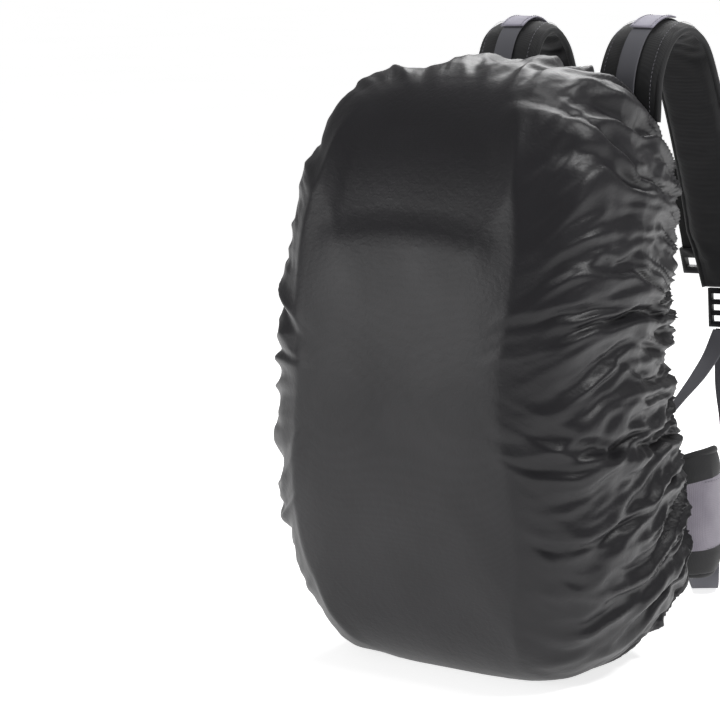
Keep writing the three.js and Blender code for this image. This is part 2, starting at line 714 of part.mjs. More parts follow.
// Lower webbing from the ladder lock to a tab on the back panel, and the hanging spare end.
function makeLowerWebbing(name, side) {
  const end = strapFrame(name, 1);
  const gate = end.at.clone().addScaledVector(end.along, LADDER_SIZE.along + 3)
    .addScaledVector(end.out, padFace);
  const tabLow = 226;
  const tabHigh = 258;
  const tabX = side * (backHalfWidth(tabLow, PANEL_INSET) - 12);
  const tab = backLayer(tabLow, tabHigh, (z) => {
    const half = 5 + (6 * (z - tabLow)) / (tabHigh - tabLow);
    return [tabX - half, tabX + half];
  }, CLEARANCE, CLEARANCE + 3);
  place(`anchor_tab_${name}`, tab, blackWebbing);
  const away = backY(tabLow) + 18;
  place(`lower_webbing_${name}`, strap([[gate.x, gate.y - 3, gate.z - 2],
    [gate.x + side * 4, gate.y - 40, gate.z - 32], [tabX + side * 6, away + 24, tabLow + 32],
    [tabX, away, tabLow + 12]], WEBBING_WIDTH, WEBBING_THICKNESS, 14, [1, 0, 0],
  [0.75, side * -0.5, 0.4]), webbingCloth);
  const beyondFin = FIN_STATIONS[FIN_STATIONS.length - 1].at[1] + 26;
  const tailEnd = side > 0 ? 16 : 62;
  place(`webbing_tail_${name}`, strap([[gate.x, gate.y + 3, gate.z - 2],
    [gate.x, beyondFin - 6, gate.z - 50], [gate.x + side * 4, beyondFin + 2, gate.z - 130],
    [gate.x + side * 12, beyondFin, tailEnd]], WEBBING_WIDTH, WEBBING_THICKNESS, 14,
  [1, 0, 0]), webbingCloth);
}

function makeLabel() {
  const middle = shareAtLevel('right', LABEL_LEVEL);
  const half = LABEL_SIZE.along / 2 / routes.right.getLength();
  place('strap_label', onStrap('right', middle - half, middle + half, 4, LABEL_SIZE.across,
    LABEL_SIZE.thick, overWebbing + LABEL_SIZE.thick / 2), labelTape);
}

function makeHaulLoop() {
  const y = backY(YOKE_TOP) + 14;
  const low = YOKE_TOP + 6;
  const half = HAUL_SPAN / 2;
  place('haul_loop', strap([[-half, y, low], [-half, y, low + HAUL_RISE * 0.55],
    [-half * 0.5, y, low + HAUL_RISE], [half * 0.5, y, low + HAUL_RISE],
    [half, y, low + HAUL_RISE * 0.55], [half, y, low]], HAUL_WIDTH, HAUL_THICKNESS, 18,
  [0, 1, 0]), webbingCloth);
}

// The strap and tri-glide that set the back length, lying over the left back pad.
function makeTorsoStrap() {
  const over = BACK_PAD_THICKNESS + 5;
  const points = [[-24, 472, over - 6], [-32, 446, over], [-56, 370, over], [-80, 304, over]];
  place('torso_strap', strap(points.map(([x, z, lift]) => [x, backY(z) + lift, z]), 30,
    WEBBING_THICKNESS, 12, [1, 0, 0]), webbingCloth);
  const glide = frameWithSlots({ across: 40, along: 18 }, 4, [
    { across: 31, along: 4, at: -4 }, { across: 31, along: 4, at: 4 }]);
  place('torso_buckle', glide.translate(-22, backY(486) + 12, 486), mouldedPlastic);
}

// ---- Hip belt ------------------------------------------------------------------------------

function makeFin(name, side) {
  const spine = new THREE.CatmullRomCurve3(FIN_STATIONS.map(({ at, low, high }) =>
    new THREE.Vector3(side * at[0], at[1], (low + high) / 2)));
  const sizes = new THREE.CatmullRomCurve3(FIN_STATIONS.map(({ low, high, thick }) =>
    new THREE.Vector3(high - low, thick, 0)));
  const upright = new THREE.Vector3(0, 0, 1);
  const rings = [];
  const steps = 24;
  for (let i = 0; i <= steps; i += 1) {
    const t = i / steps;
    const size = sizes.getPoint(t);
    const level = spine.getTangent(t).setZ(0).normalize();
    rings.push(crossSection(PADDED, spine.getPoint(t), level, upright, size.x, size.y));
  }
  place(`hip_fin_${name}`, trimToBack(skin(rings), CLEARANCE), packCloth);
}

// The straight run of the right fin, which carries the pocket and its zip.
const pocketStart = new THREE.Vector2(...FIN_STATIONS[3].at);
const pocketEnd = new THREE.Vector2(...FIN_STATIONS[5].at);
const pocketTurn = Math.atan2(pocketEnd.y - pocketStart.y, pocketEnd.x - pocketStart.x);
const pocketMiddle = pocketStart.clone().lerp(pocketEnd, 0.42);
const finFace = FIN_STATIONS[4].thick / 2 + 2.2;

// A group on the fin's outer face: X runs towards the buckle, Z is up and -Y is outwards.
function pocketGroup() {
  const group = new THREE.Group();
  group.position.set(pocketMiddle.x, pocketMiddle.y, 0);
  group.rotation.z = pocketTurn;
  rucksack.add(group);
  return group;
}

function makePocket() {
  const group = pocketGroup();
  const half = POCKET_LENGTH / 2;
  const low = POCKET_MIDDLE - POCKET_HEIGHT / 2;
  const high = POCKET_MIDDLE + POCKET_HEIGHT / 2;
  const bag = skin([[-half, 0.35], [-half + 10, 0.8], [0, 1], [half - 14, 0.8], [half, 0.3]]
    .map(([x, share]) => {
      const depth = POCKET_THICKNESS * share;
      const trim = 8 * (1 - share);
      return [[0, low + trim], [0, high - trim], [-depth, high - trim - 4], [-depth, low + trim + 4]]
        .map(([y, z]) => new THREE.Vector3(x, y - finFace, z));
    }));
  place('hip_pocket', bag, greyCloth, group);
  const track = box([-half, -finFace - ZIP_THICKNESS, ZIP_LEVEL - ZIP_WIDTH / 2],
    [half, -finFace, ZIP_LEVEL + ZIP_WIDTH / 2]);
  place('pocket_zip', track, blackWebbing, group);
  const face = -finFace - ZIP_THICKNESS - CLEARANCE;
  const slideX = half - ZIP_SLIDER.along / 2 - 2;
  const slider = box([slideX - ZIP_SLIDER.along / 2, face - ZIP_SLIDER.thick,
    ZIP_LEVEL - ZIP_SLIDER.across / 2], [slideX + ZIP_SLIDER.along / 2, face,
    ZIP_LEVEL + ZIP_SLIDER.across / 2]);
  place('zip_slider', slider, platedZinc, group);
  const pullFace = face - ZIP_SLIDER.thick - CLEARANCE;
  const pull = box([slideX - ZIP_PULL.wide / 2, pullFace - ZIP_PULL.thick,
    ZIP_LEVEL + 2 - ZIP_PULL.drop], [slideX + ZIP_PULL.wide / 2, pullFace, ZIP_LEVEL + 2]);
  place('zip_pull', pull, blackWebbing, group);
}

function makeBuckle() {
  const group = new THREE.Group();
  group.position.set(0, BUCKLE_MIDDLE_Y, BELT_LEVEL);
  rucksack.add(group);
  const halfHigh = BUCKLE_HEIGHT / 2;
  const halfThick = BUCKLE_THICKNESS / 2;
  const halfCavity = halfThick - BUCKLE_WALL;
  const halfSlot = BELT_WEBBING / 2 + 1;
  const female = cut(box([0, -halfThick, -halfHigh], [FEMALE_LENGTH, halfThick, halfHigh]),
    box([-1, -halfCavity, -BUCKLE_HEIGHT], [FEMALE_MOUTH, halfCavity, BUCKLE_HEIGHT]),
    box([FEMALE_MOUTH + 3, -BUCKLE_THICKNESS, -halfSlot],
      [FEMALE_LENGTH - 3, BUCKLE_THICKNESS, halfSlot]));
  place('buckle_female', female, mouldedPlastic, group);
  const inner = halfCavity - CLEARANCE;
  const base = box([-MALE_LENGTH, -halfThick + 1, -halfHigh + 2], [-1, halfThick - 1, halfHigh - 2]);
  const tongue = box([-2, -inner, -5], [PRONG_LENGTH + 2, inner, 5]);
  const slot = box([-MALE_LENGTH + 4, -BUCKLE_THICKNESS, -halfSlot],
    [-MALE_LENGTH + 9, BUCKLE_THICKNESS, halfSlot]);
  place('buckle_male', cut(join(base, tongue), slot), mouldedPlastic, group);
  for (const [name, side] of [['upper', 1], ['lower', -1]]) {
    const arm = new THREE.Shape([[0, 14], [PRONG_LENGTH, 14], [PRONG_LENGTH, 19],
      [PRONG_LENGTH - 6, halfHigh - 1], [8, halfHigh - 1], [6, 19], [0, 19]]
      .map(([x, z]) => new THREE.Vector2(x - 1 + CLEARANCE, side * z)));
    const prong = new THREE.ExtrudeGeometry(arm, { depth: 2 * inner, bevelEnabled: false })
      .rotateX(Math.PI / 2).translate(0, inner, 0);
    place(`buckle_prong_${name}`, prong, mouldedPlastic, group);
  }
}

function makeBeltWebbing() {
  const tip = FIN_STATIONS[FIN_STATIONS.length - 1].at;
  const endX = { right: FEMALE_LENGTH + CLEARANCE, left: MALE_LENGTH + CLEARANCE };
  for (const [name, side] of Object.entries(SIDES)) {
    place(`belt_webbing_${name}`, strap([[side * (tip[0] - 2), tip[1] + 3, BELT_LEVEL],
      [side * (tip[0] - 12), tip[1] + 9, BELT_LEVEL],
      [side * endX[name], BUCKLE_MIDDLE_Y, BELT_LEVEL]], BELT_WEBBING, WEBBING_THICKNESS, 5,
    [0, 0, 1]), webbingCloth);
  }
  const out = BUCKLE_MIDDLE_Y + BUCKLE_THICKNESS / 2 + 3;
  const lying = WEBBING_THICKNESS / 2 + CLEARANCE;
  place('belt_tail_right', strap([[34, out, BELT_LEVEL], [46, out + 3, BELT_LEVEL - 4],
    [62, out + 8, BELT_LEVEL - 36], [68, out + 16, 60], [62, out + 28, 24],
    [52, out + 44, 5 * lying], [38, out + 64, 1.4 * lying], [4, out + 112, lying]],
  BELT_WEBBING - 6, WEBBING_THICKNESS, 30, [0, 0, 1], [0.6, 0, 1], [0.3, 1, 0.2], [1, 0.5, 0],
  [1, 0.7, 0], [1, 0.7, 0], [1, 0.7, 0]), webbingCloth);
  place('belt_tail_left', strap([[-30, out + 2, BELT_LEVEL], [-42, out + 8, BELT_LEVEL - 6],
    [-54, out + 18, BELT_LEVEL - 44], [-60, out + 26, 44], [-64, out + 36, 14],
    [-67, out + 50, 3 * lying], [-72, out + 74, lying]], BELT_WEBBING, WEBBING_THICKNESS, 20,
  [0, 0, 1], [0.7, 0, 0.6],
  [1, 0.1, 0], [1, 0, 0], [1, 0, 0]), webbingCloth);
}

// ---- Assembly ------------------------------------------------------------------------------

makeCover();
makeHemCord();
makeCordLock();
makeBack();
makeHaulLoop();
makeTorsoStrap();
makeLabel();
for (const [name, side] of Object.entries(SIDES)) {
  makeShoulderStrap(name);
  makeSternumHalf(name, side);
  makeLadderLock(name);
  makeLowerWebbing(name, side);
  makeFin(name, side);
}
makePocket();
makeBuckle();
makeBeltWebbing();

export default rucksack;
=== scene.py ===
import json
import math

import bmesh
import bpy
import numpy as np
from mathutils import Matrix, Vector


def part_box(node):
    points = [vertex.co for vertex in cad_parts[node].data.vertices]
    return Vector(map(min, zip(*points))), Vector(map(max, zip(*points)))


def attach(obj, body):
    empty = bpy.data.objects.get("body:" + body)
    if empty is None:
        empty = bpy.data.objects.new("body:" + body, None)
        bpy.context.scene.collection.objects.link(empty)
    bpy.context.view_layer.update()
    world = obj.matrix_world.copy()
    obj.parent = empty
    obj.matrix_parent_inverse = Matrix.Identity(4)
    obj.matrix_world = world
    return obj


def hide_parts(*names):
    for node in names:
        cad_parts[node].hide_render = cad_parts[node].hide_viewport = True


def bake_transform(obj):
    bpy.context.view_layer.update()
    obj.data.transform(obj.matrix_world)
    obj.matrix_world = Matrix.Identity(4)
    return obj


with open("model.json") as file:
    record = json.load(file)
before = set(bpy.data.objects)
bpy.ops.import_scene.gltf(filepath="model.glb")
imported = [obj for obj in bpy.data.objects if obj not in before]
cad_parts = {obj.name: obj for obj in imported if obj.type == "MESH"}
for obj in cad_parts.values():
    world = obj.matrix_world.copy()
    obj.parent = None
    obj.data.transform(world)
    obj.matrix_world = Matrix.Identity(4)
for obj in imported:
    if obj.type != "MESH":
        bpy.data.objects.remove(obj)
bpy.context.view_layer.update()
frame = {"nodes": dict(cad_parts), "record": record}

bl_info = {
    "name": "Covered hiking rucksack",
    "version": (1, 0, 0),
    "blender": (4, 5, 0),
    "location": "View3D > Sidebar > Rucksack",
    "description": "Builds a hiking rucksack in its rain cover, with harness and hip belt",
    "category": "Add Mesh",
}

MM = 0.001
SIDES = {"right": 1, "left": -1}

# ---- The rucksack's form, in millimetres, as the CAD model has it ----------------------------

HEIGHT, WIDTH, FRONT_DEPTH, BASE_SINK = 650.0, 412.0, 150.0, 12.0
FRONT_LOW, FRONT_RISE, FRONT_AT = -20.0, 45.0, 300.0
BACK_PROFILE = [[0, 108], [28, 124], [97, 150], [190, 131], [300, 119], [400, 129], [500, 158],
                [545, 161], [605, 128], [650, 96]]
OUTLINE_POWER, DEPTH_POWER = 4.0, 3.8
BODY_TAPER, HEM_TAPER = 0.08, 0.29
HEM_SIDE, HEM_END = 42.0, 40.0
HALF_HEIGHT = (HEIGHT + BASE_SINK) / 2
MIDDLE = HEIGHT - HALF_HEIGHT
HALF_WIDTH = WIDTH / 2
HEM_LOW = MIDDLE - (HALF_HEIGHT - HEM_END)

STRAP_ROUTES = {
    "right": [[82, 153, 589], [83, 157, 640], [84, 179, 676], [85, 212, 688], [86, 246, 672],
              [88, 272, 625], [91, 297, 560], [94, 318, 490], [97, 330, 430], [99, 330, 385]],
    "left": [[-82, 151, 589], [-82, 152, 640], [-82, 167, 674], [-83, 194, 685],
             [-84, 222, 668], [-86, 248, 620], [-89, 276, 555], [-92, 301, 490],
             [-96, 316, 430], [-98, 316, 385]],
}
PAD_WIDTH, PAD_THICK = 78.0, 14.0
WEBBING_LIFT = PAD_THICK / 2 + 5.2
OVER_WEBBING = WEBBING_LIFT + 1.2
FIN_STATIONS = [
    ((112, 158), 84, 196, 15), ((140, 176), 76, 210, 17), ((156, 205), 72, 216, 17),
    ((150, 234), 74, 214, 16), ((118, 272), 82, 198, 16), ((90, 305), 98, 170, 12),
    ((76, 318), 108, 152, 9),
]
BELT_LEVEL, BUCKLE_Y = 130.0, 332.0
BAND_LEVEL, SLIDER_LEVEL, LABEL_LEVEL = 602, 526, 462
CRESCENT_LOW, CRESCENT_HIGH = 226, 462
YOKE_LOW, YOKE_HIGH = 497, 583
LUMBAR_MIDDLE, LUMBAR_HALF_WIDTH, LUMBAR_HALF_HEIGHT = 158, 98, 80
ANCHOR_LOW, ANCHOR_HIGH = 226, 258
HAUL_ROOT = 584


def unit(v):
    v = np.asarray(v, float)
    return v / np.maximum(np.linalg.norm(v, axis=-1, keepdims=True), 1e-9)


def smooth(low, high, value):
    """0 below low, 1 above high, with a soft step between them."""
    t = np.clip((value - low) / (high - low), 0, 1)
    return t * t * (3 - 2 * t)


def spline(points, count, closed=False, tension=0.25):
    """A smooth curve through the points, as the CAD model draws it, in even steps."""
    p = np.asarray(points, float)
    if closed:
        ring = np.vstack([p[-1:], p, p[:2]])
    else:
        ring = np.vstack([2 * p[0] - p[1], p, 2 * p[-1] - p[-2]])
    t = np.linspace(0, 1, 33)[:-1, None]
    fine = []
    for a, b, c, d in zip(ring, ring[1:], ring[2:], ring[3:]):
        k = [max(((v - u) ** 2).sum(), 1e-12) ** tension for u, v in ((a, b), (b, c), (c, d))]
        m1 = ((b - a) / k[0] - (c - a) / (k[0] + k[1]) + (c - b) / k[1]) * k[1]
        m2 = ((c - b) / k[1] - (d - b) / (k[1] + k[2]) + (d - c) / k[2]) * k[1]
        fine.append(b + m1 * t + (3 * (c - b) - 2 * m1 - m2) * t**2
                    + (2 * (b - c) + m1 + m2) * t**3)
    fine = np.vstack([*fine, p[:1] if closed else p[-1:]])
    gone = np.concatenate([[0], np.linalg.norm(np.diff(fine, axis=0), axis=1).cumsum()])
    at = np.linspace(0, gone[-1], count + 1 if closed else count)
    made = np.stack([np.interp(at, gone, fine[:, i]) for i in range(fine.shape[1])], axis=1)
    return made[:-1] if closed else made


def tangents(route):
    return unit(np.gradient(route, axis=0))


BACK = spline(BACK_PROFILE, 400, tension=0)


def back_y(z):
    return np.interp(z, BACK[:, 0], BACK[:, 1])


def middle_y(z):
    return FRONT_LOW + FRONT_RISE * ((z - FRONT_AT) / (HEIGHT / 2)) ** 2


def bent(value, power):
    """A value raised to a power with its sign kept."""
    return np.sign(value) * np.abs(value) ** power


def outline_steps(count):
    """Directions round the outline, from -1 to 1, evenly spaced along its length."""
    angle = np.linspace(0, 2 * math.pi, 8001)
    power = 2 / OUTLINE_POWER
    fine = np.stack([bent(np.cos(angle), power) * HALF_WIDTH,
                     bent(np.sin(angle), power) * HALF_HEIGHT], axis=1)
    gone = np.concatenate([[0], np.linalg.norm(np.diff(fine, axis=0), axis=1).cumsum()])
    at = (np.arange(count) + 0.5) / count * gone[-1]
    return (np.interp(at, gone, fine[:, 0]) / HALF_WIDTH,
            np.interp(at, gone, fine[:, 1]) / HALF_HEIGHT)


def body_point(across, up, step, inset=0.0):
    """The rucksack's surface: step runs from 0 in the middle of the front over 1 to 2 at the hem."""
    front = np.clip(step, 0, 1) * math.pi / 2
    behind = np.clip(step - 1, 0, 1) * math.pi / 2
    scale = np.sin(front) ** (2 / DEPTH_POWER)
    turned, share = 1 - np.cos(behind), np.sin(behind)
    half_width = (HALF_WIDTH - inset) * scale - HEM_SIDE * turned
    half_height = HALF_HEIGHT * scale - HEM_END * turned
    taper = BODY_TAPER + (HEM_TAPER - BODY_TAPER) * share
    level = np.maximum(MIDDLE + half_height * up, 0) / HEIGHT
    z = inset + level * (HEIGHT - 2 * inset)
    x = half_width * (1 - taper * level) * across
    depth = (FRONT_DEPTH - inset) * np.maximum(np.cos(front), 0) ** (2 / DEPTH_POWER)
    y = np.where(step <= 1, middle_y(z) - depth,
                 middle_y(z) + (back_y(z) - inset - middle_y(z)) * share)
    return np.stack([x, y, z], axis=-1)


def back_half_width(z, inset):
    share = np.abs(z - MIDDLE) / (HALF_HEIGHT - HEM_END - inset)
    across = np.maximum(1 - share**OUTLINE_POWER, 0) ** (1 / OUTLINE_POWER)
    return (HALF_WIDTH - HEM_SIDE - inset) * across * (1 - HEM_TAPER * z / HEIGHT)


def waves(x, y, seed, wrap=256):
    """Smooth noise from about -1 to 1, the same each run, that repeats along x after wrap cells."""
    angle = np.random.RandomState(seed).rand(wrap, 256) * 2 * math.pi
    x0, y0 = np.floor(x).astype(int), np.floor(y).astype(int)
    fx, fy = x - x0, y - y0

    def corner(i, j):
        a = angle[(x0 + i) % wrap, (y0 + j) % 256]
        return np.cos(a) * (fx - i) + np.sin(a) * (fy - j)

    ux, uy = (f * f * f * (f * (f * 6 - 15) + 10) for f in (fx, fy))
    low = corner(0, 0) * (1 - ux) + corner(1, 0) * ux
    high = corner(0, 1) * (1 - ux) + corner(1, 1) * ux
    return (low * (1 - uy) + high * uy) * 1.5


# ---- Mesh helpers ----------------------------------------------------------------------------


def build(name, points, faces, finish, uv=None, body="root", slot=None, replaces=(), smooth=True):
    """Makes a piece from points in millimetres, with its place in its mesh."""
    mesh = bpy.data.meshes.new(name)
    mesh.from_pydata((np.asarray(points) * MM).tolist(), [], faces)
    if smooth:
        mesh.shade_smooth()
    if uv is not None:
        layer = mesh.uv_layers.new(name="UVMap")
        order = np.empty(len(mesh.loops), int)
        mesh.loops.foreach_get("vertex_index", order)
        layer.data.foreach_set("uv", (np.asarray(uv)[order] * MM).ravel())
    piece = bpy.data.objects.new(name, mesh)
    bpy.context.collection.objects.link(piece)
    for each in finish if isinstance(finish, (list, tuple)) else [finish]:
        mesh.materials.append(material(each))
    if replaces:
        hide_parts(*replaces)
    if body:
        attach(piece, body)
    return piece


def grid_faces(rows, columns, wrap=False, start=0):
    """Quads of a grid of rows by columns; wrap joins the last column to the first."""
    faces = []
    for r in range(rows - 1):
        for c in range(columns if wrap else columns - 1):
            d = (c + 1) % columns
            a, b = start + r * columns, start + (r + 1) * columns
            faces.append((a + c, a + d, b + d, b + c))
    return faces


def two_sided_faces(rows, columns):
    """Faces of a closed shell: a front grid, a rear grid turned round, and the rim between."""
    count = rows * columns
    faces = grid_faces(rows, columns)
    faces += [face[::-1] for face in grid_faces(rows, columns, start=count)]
    rim = list(range(columns)) + [r * columns + columns - 1 for r in range(1, rows)]
    rim += [(rows - 1) * columns + c for c in range(columns - 2, -1, -1)]
    rim += [r * columns for r in range(rows - 2, 0, -1)]
    for here, ahead in zip(rim, rim[1:] + rim[:1]):
        faces.append((here, ahead, count + ahead, count + here))
    return faces


def mesh_co(mesh):
    co = np.empty(len(mesh.vertices) * 3, np.float32)
    mesh.vertices.foreach_get("co", co)
    return co.reshape(-1, 3)


def set_co(mesh, co):
    mesh.vertices.foreach_set("co", np.asarray(co, np.float32).ravel())
    mesh.update()


def outward(piece):
    """Turns the faces of a closed piece outwards."""
    work = bmesh.new()
    work.from_mesh(piece.data)
    bmesh.ops.recalc_face_normals(work, faces=work.faces)
    work.to_mesh(piece.data)
    work.free()


def sweep(name, route, wides, section, finish, **more):
    """A closed strip: section is points across it (width, height), the same or one list a station."""
    route, section = np.asarray(route, float), np.asarray(section, float)
    along = tangents(route)
    wides = np.broadcast_to(np.asarray(wides, float), route.shape)
    side = unit(wides - (wides * along).sum(1)[:, None] * along)
    out = unit(np.cross(side, along))
    section = np.broadcast_to(section, (len(route), *section.shape[-2:]))
    points = (route[:, None] + side[:, None] * section[..., :1] + out[:, None] * section[..., 1:])
    count = section.shape[1]
    faces = grid_faces(len(route), count, wrap=True)
    faces += [tuple(range(count))[::-1], tuple(range((len(route) - 1) * count, len(route) * count))]
    gone = np.concatenate([[0], np.linalg.norm(np.diff(route, axis=0), axis=1).cumsum()])
    uv = np.stack([section[..., 0] + 100, np.broadcast_to(gone[:, None], section.shape[:2])], axis=-1)
    piece = build(name, points.reshape(-1, 3), faces, finish, uv=uv.reshape(-1, 2), **more)
    outward(piece)
    return piece


def turned(*wides):
    """Directions of a strip's width that turn evenly from one to the next along its length."""
    def at(count):
        t = np.linspace(0, len(wides) - 1, count)
        return np.stack([np.interp(t, range(len(wides)), np.array(wides, float)[:, i])
                         for i in range(3)], axis=1)
    return at


WEBBING_STEP = 3.0


def webbing(name, points, wides, width, thick, finish, seed=0, sway=0.5, doubled=(0, 0), **more):
    """Woven webbing along a route, with a firm selvedge; doubled ends are turned back and sewn."""
    rough = spline(points, 200)
    length = np.linalg.norm(np.diff(rough, axis=0), axis=1).sum()
    count = max(int(length / WEBBING_STEP), 6)
    route = spline(points, count)
    wide = wides(count) if callable(wides) else np.broadcast_to(np.array(wides, float), route.shape)
    gone = np.linspace(0, length, count)
    across = np.array([-0.5, -0.485, -0.44, -0.25, 0, 0.25, 0.44, 0.485, 0.5])
    crown = np.array([0.2, 0.8, 1.0, 0.86, 0.84, 0.86, 1.0, 0.8, 0.2])
    u = np.concatenate([across, across[::-1]])
    v = np.concatenate([crown, -crown[::-1]])
    fat = np.ones(count) * thick / 2
    fat += (smooth(doubled[0], doubled[0] - 2, gone) if doubled[0] else 0) * thick / 2
    fat += (smooth(length - doubled[1], length - doubled[1] + 2, gone) if doubled[1] else 0) * thick / 2
    ripple = sway * waves(gone[:, None] / 38, u[None] * 1.3, seed + 11)
    free = np.minimum(smooth(0, 18, gone), smooth(length, length - 18, gone))[:, None]
    section = np.stack([np.broadcast_to(u * width, (count, len(u))),
                        v * fat[:, None] + ripple * free], axis=-1)
    return sweep(name, route, wide, section, finish, **more)


STITCH_LONG, STITCH_GAP, STITCH_WIDE = 3.2, 1.5, 0.9


def stitches(name, lines, finish="thread", **more):
    """Rows of stitches: each line is (points, outward directions), both in a list of stations."""
    points, faces = [], []
    for route, out in lines:
        route = np.asarray(route, float)
        gone = np.concatenate([[0], np.linalg.norm(np.diff(route, axis=0), axis=1).cumsum()])
        out = np.broadcast_to(np.asarray(out, float), route.shape)
        pitch = STITCH_LONG + STITCH_GAP
        for k in range(int(gone[-1] / pitch)):
            ends = [np.array([np.interp(k * pitch + STITCH_GAP / 2 + s * STITCH_LONG, gone,
                                        route[:, i]) for i in range(3)]) for s in (0, 0.5, 1)]
            up = unit([np.interp(k * pitch, gone, out[:, i]) for i in range(3)])
            ahead = unit(ends[2] - ends[0])
            side = unit(np.cross(up, ahead)) * STITCH_WIDE / 2
            start = len(points)
            for share, size in ((0, 0.35), (0.5, 1), (1, 0.35)):
                middle = ends[round(share * 2)]
                points += [middle - side * size, middle + up * STITCH_WIDE * 0.55 * size,
                           middle + side * size, middle - up * STITCH_WIDE * 0.3]
            for r in (0, 4):
                for c in range(4):
                    d = (c + 1) % 4
                    faces.append((start + r + c, start + r + d, start + r + 4 + d, start + r + 4 + c))
            faces.append((start + 3, start + 2, start + 1, start))
            faces.append((start + 8, start + 9, start + 10, start + 11))
    return build(name, points, faces, finish, **more)


CLOTH_FRAMES = 20


def simulate(piece, cap, pressure=4.0, pin=None, grow=0.0, grow_group=None, bending=0.5,
             frames=CLOTH_FRAMES, gravity=0.0, tension=15.0):
    """Runs Blender's cloth on a piece, lets no point move further than cap, and keeps the result."""
    rest = mesh_co(piece.data).copy()
    cloth = piece.modifiers.new("Cloth", "CLOTH")
    how = cloth.settings
    how.quality = 6
    how.mass = 0.15
    how.tension_stiffness = how.compression_stiffness = tension
    how.shear_stiffness = 5
    how.bending_stiffness = bending
    how.effector_weights.gravity = gravity
    how.use_pressure = pressure != 0
    how.uniform_pressure_force = pressure
    if pin:
        how.vertex_group_mass = pin
    if grow:
        how.shrink_min = -grow if not grow_group else 0
        if grow_group:
            how.vertex_group_shrink = grow_group
            how.shrink_max = -grow
    cloth.collision_settings.use_collision = False
    scene = bpy.context.scene
    cloth.point_cache.frame_start, cloth.point_cache.frame_end = 1, frames
    for number in range(1, frames + 1):
        scene.frame_set(number)
    grown = piece.evaluated_get(bpy.context.evaluated_depsgraph_get())
    moved = mesh_co(grown.data).copy() - rest
    piece.modifiers.remove(cloth)
    scene.frame_set(1)
    far = np.linalg.norm(moved, axis=1, keepdims=True)
    limit = cap * MM
    moved *= np.minimum(1, limit * np.tanh(far / limit) / np.maximum(far, 1e-9))
    set_co(piece.data, rest + moved)
    return moved / MM


def apply(piece, kind, **settings):
    """Adds a modifier and applies it."""
    for other in bpy.context.selected_objects:
        other.select_set(False)
    piece.select_set(True)
    bpy.context.view_layer.objects.active = piece
    added = piece.modifiers.new(kind.title(), kind)
    for name, value in settings.items():
        setattr(added, name, value)
    bpy.ops.object.modifier_apply(modifier=added.name)


# ---- Materials -------------------------------------------------------------------------------


def linear(code):
    """A colour from its sRGB hex code."""
    parts = [int(code[i:i + 2], 16) / 255 for i in (0, 2, 4)]
    return (*[c / 12.92 if c <= 0.04045 else ((c + 0.055) / 1.055) ** 2.4 for c in parts], 1.0)


def add(tree, kind, settings=(), links=()):
    """Adds one shader node with its settings, and joins its inputs to other nodes' outputs."""
    made = tree.nodes.new(kind)
    for name, value in dict(settings).items():
        if isinstance(name, int) or name in made.inputs:
            made.inputs[name].default_value = value
        else:
            setattr(made, name, value)
    for name, source in dict(links).items():
        node, output = source if isinstance(source, tuple) else (source, 0)
        tree.links.new(node.outputs[output], made.inputs[name])
    return made


# name: colour, shade colour, roughness, more
FINISHES = {}


def finish(name, **facts):
    FINISHES[name] = facts


# Polyester taffeta, woven and then coated inside: thin, slightly shiny, with soft grey highlights.
finish("coated_polyester_taffeta", colour="1B1A1D", shade="161518", rough=0.42, sheen=0.0, gloss=0.34,
       weave=1.1, depth=0.02, cloud=38, coordinate="Object", crush=0.10)
# 600 denier nylon pack cloth, woven: matt and close to black.
finish("nylon_pack_cloth", colour="151517", shade="0F0F11", rough=0.75, sheen=0.06, weave=1.8,
       depth=0.12, cloud=24, coordinate="Object")
# Polyester oxford, woven and brushed: purple-grey, with a visible basket weave.
finish("grey_oxford", colour="564E5E", shade="4B4353", rough=0.8, sheen=0.15, weave=2.0,
       depth=0.05, cloud=20, coordinate="Object")
# The same oxford in the paler shade of the hip belt.
finish("light_oxford", colour="7F7A83", shade="716C76", rough=0.8, sheen=0.2, weave=2.0,
       depth=0.14, cloud=20, coordinate="Object")
# Nylon webbing, woven on a narrow loom: lengthwise ribs and a firm selvedge.
finish("grey_webbing", colour="434347", shade="38383C", rough=0.7, sheen=0.15, ribs=2.4,
       depth=0.30, cloud=16, coordinate="UV")
finish("black_webbing", colour="1E1E20", shade="161618", rough=0.7, sheen=0.12, ribs=2.2,
       depth=0.30, cloud=16, coordinate="UV")
# Bias-cut twill folded round a cord: diagonal ribs.
finish("twill_piping", colour="8F8C99", shade="7E7B88", rough=0.72, sheen=0.15, weave=2.2,
       depth=0.15, cloud=18, coordinate="Object")
# Woven tape of satin polyester: smooth and nearly white.
finish("satin_label_tape", colour="E4E4E2", shade="D8D8D8", rough=0.45, sheen=0.1, weave=1.4,
       depth=0.06, cloud=20, coordinate="UV")
# Bonded polyester thread: a round, slightly shiny strand.
finish("thread", colour="5E5C64", shade="504E56", rough=0.55, sheen=0.1, weave=0.8, depth=0.05,
       cloud=10, coordinate="Object")
# The same thread in near-black.
finish("dark_thread", colour="2A2A2D", shade="202022", rough=0.55, sheen=0.1, weave=0.8,
       depth=0.05, cloud=10, coordinate="Object")
# Elastic cord, braided over rubber.
finish("braided_elastic", colour="19191B", shade="101012", rough=0.7, sheen=0.1, weave=1.4,
       depth=0.2, cloud=10, coordinate="Object")
# Acetal and nylon fittings, injection moulded: even, slightly soft shine, fine spark-eroded grain.
finish("moulded_acetal", colour="18181A", shade="131315", rough=0.42, grain=0.9, depth=0.06,
       cloud=12, coordinate="Object")
# High-density polyethylene, extruded sheet: milky.
finish("extruded_polyethylene", colour="D6D5CF", shade="C9C8C2", rough=0.5, grain=1.5,
       depth=0.04, cloud=30, coordinate="Object")
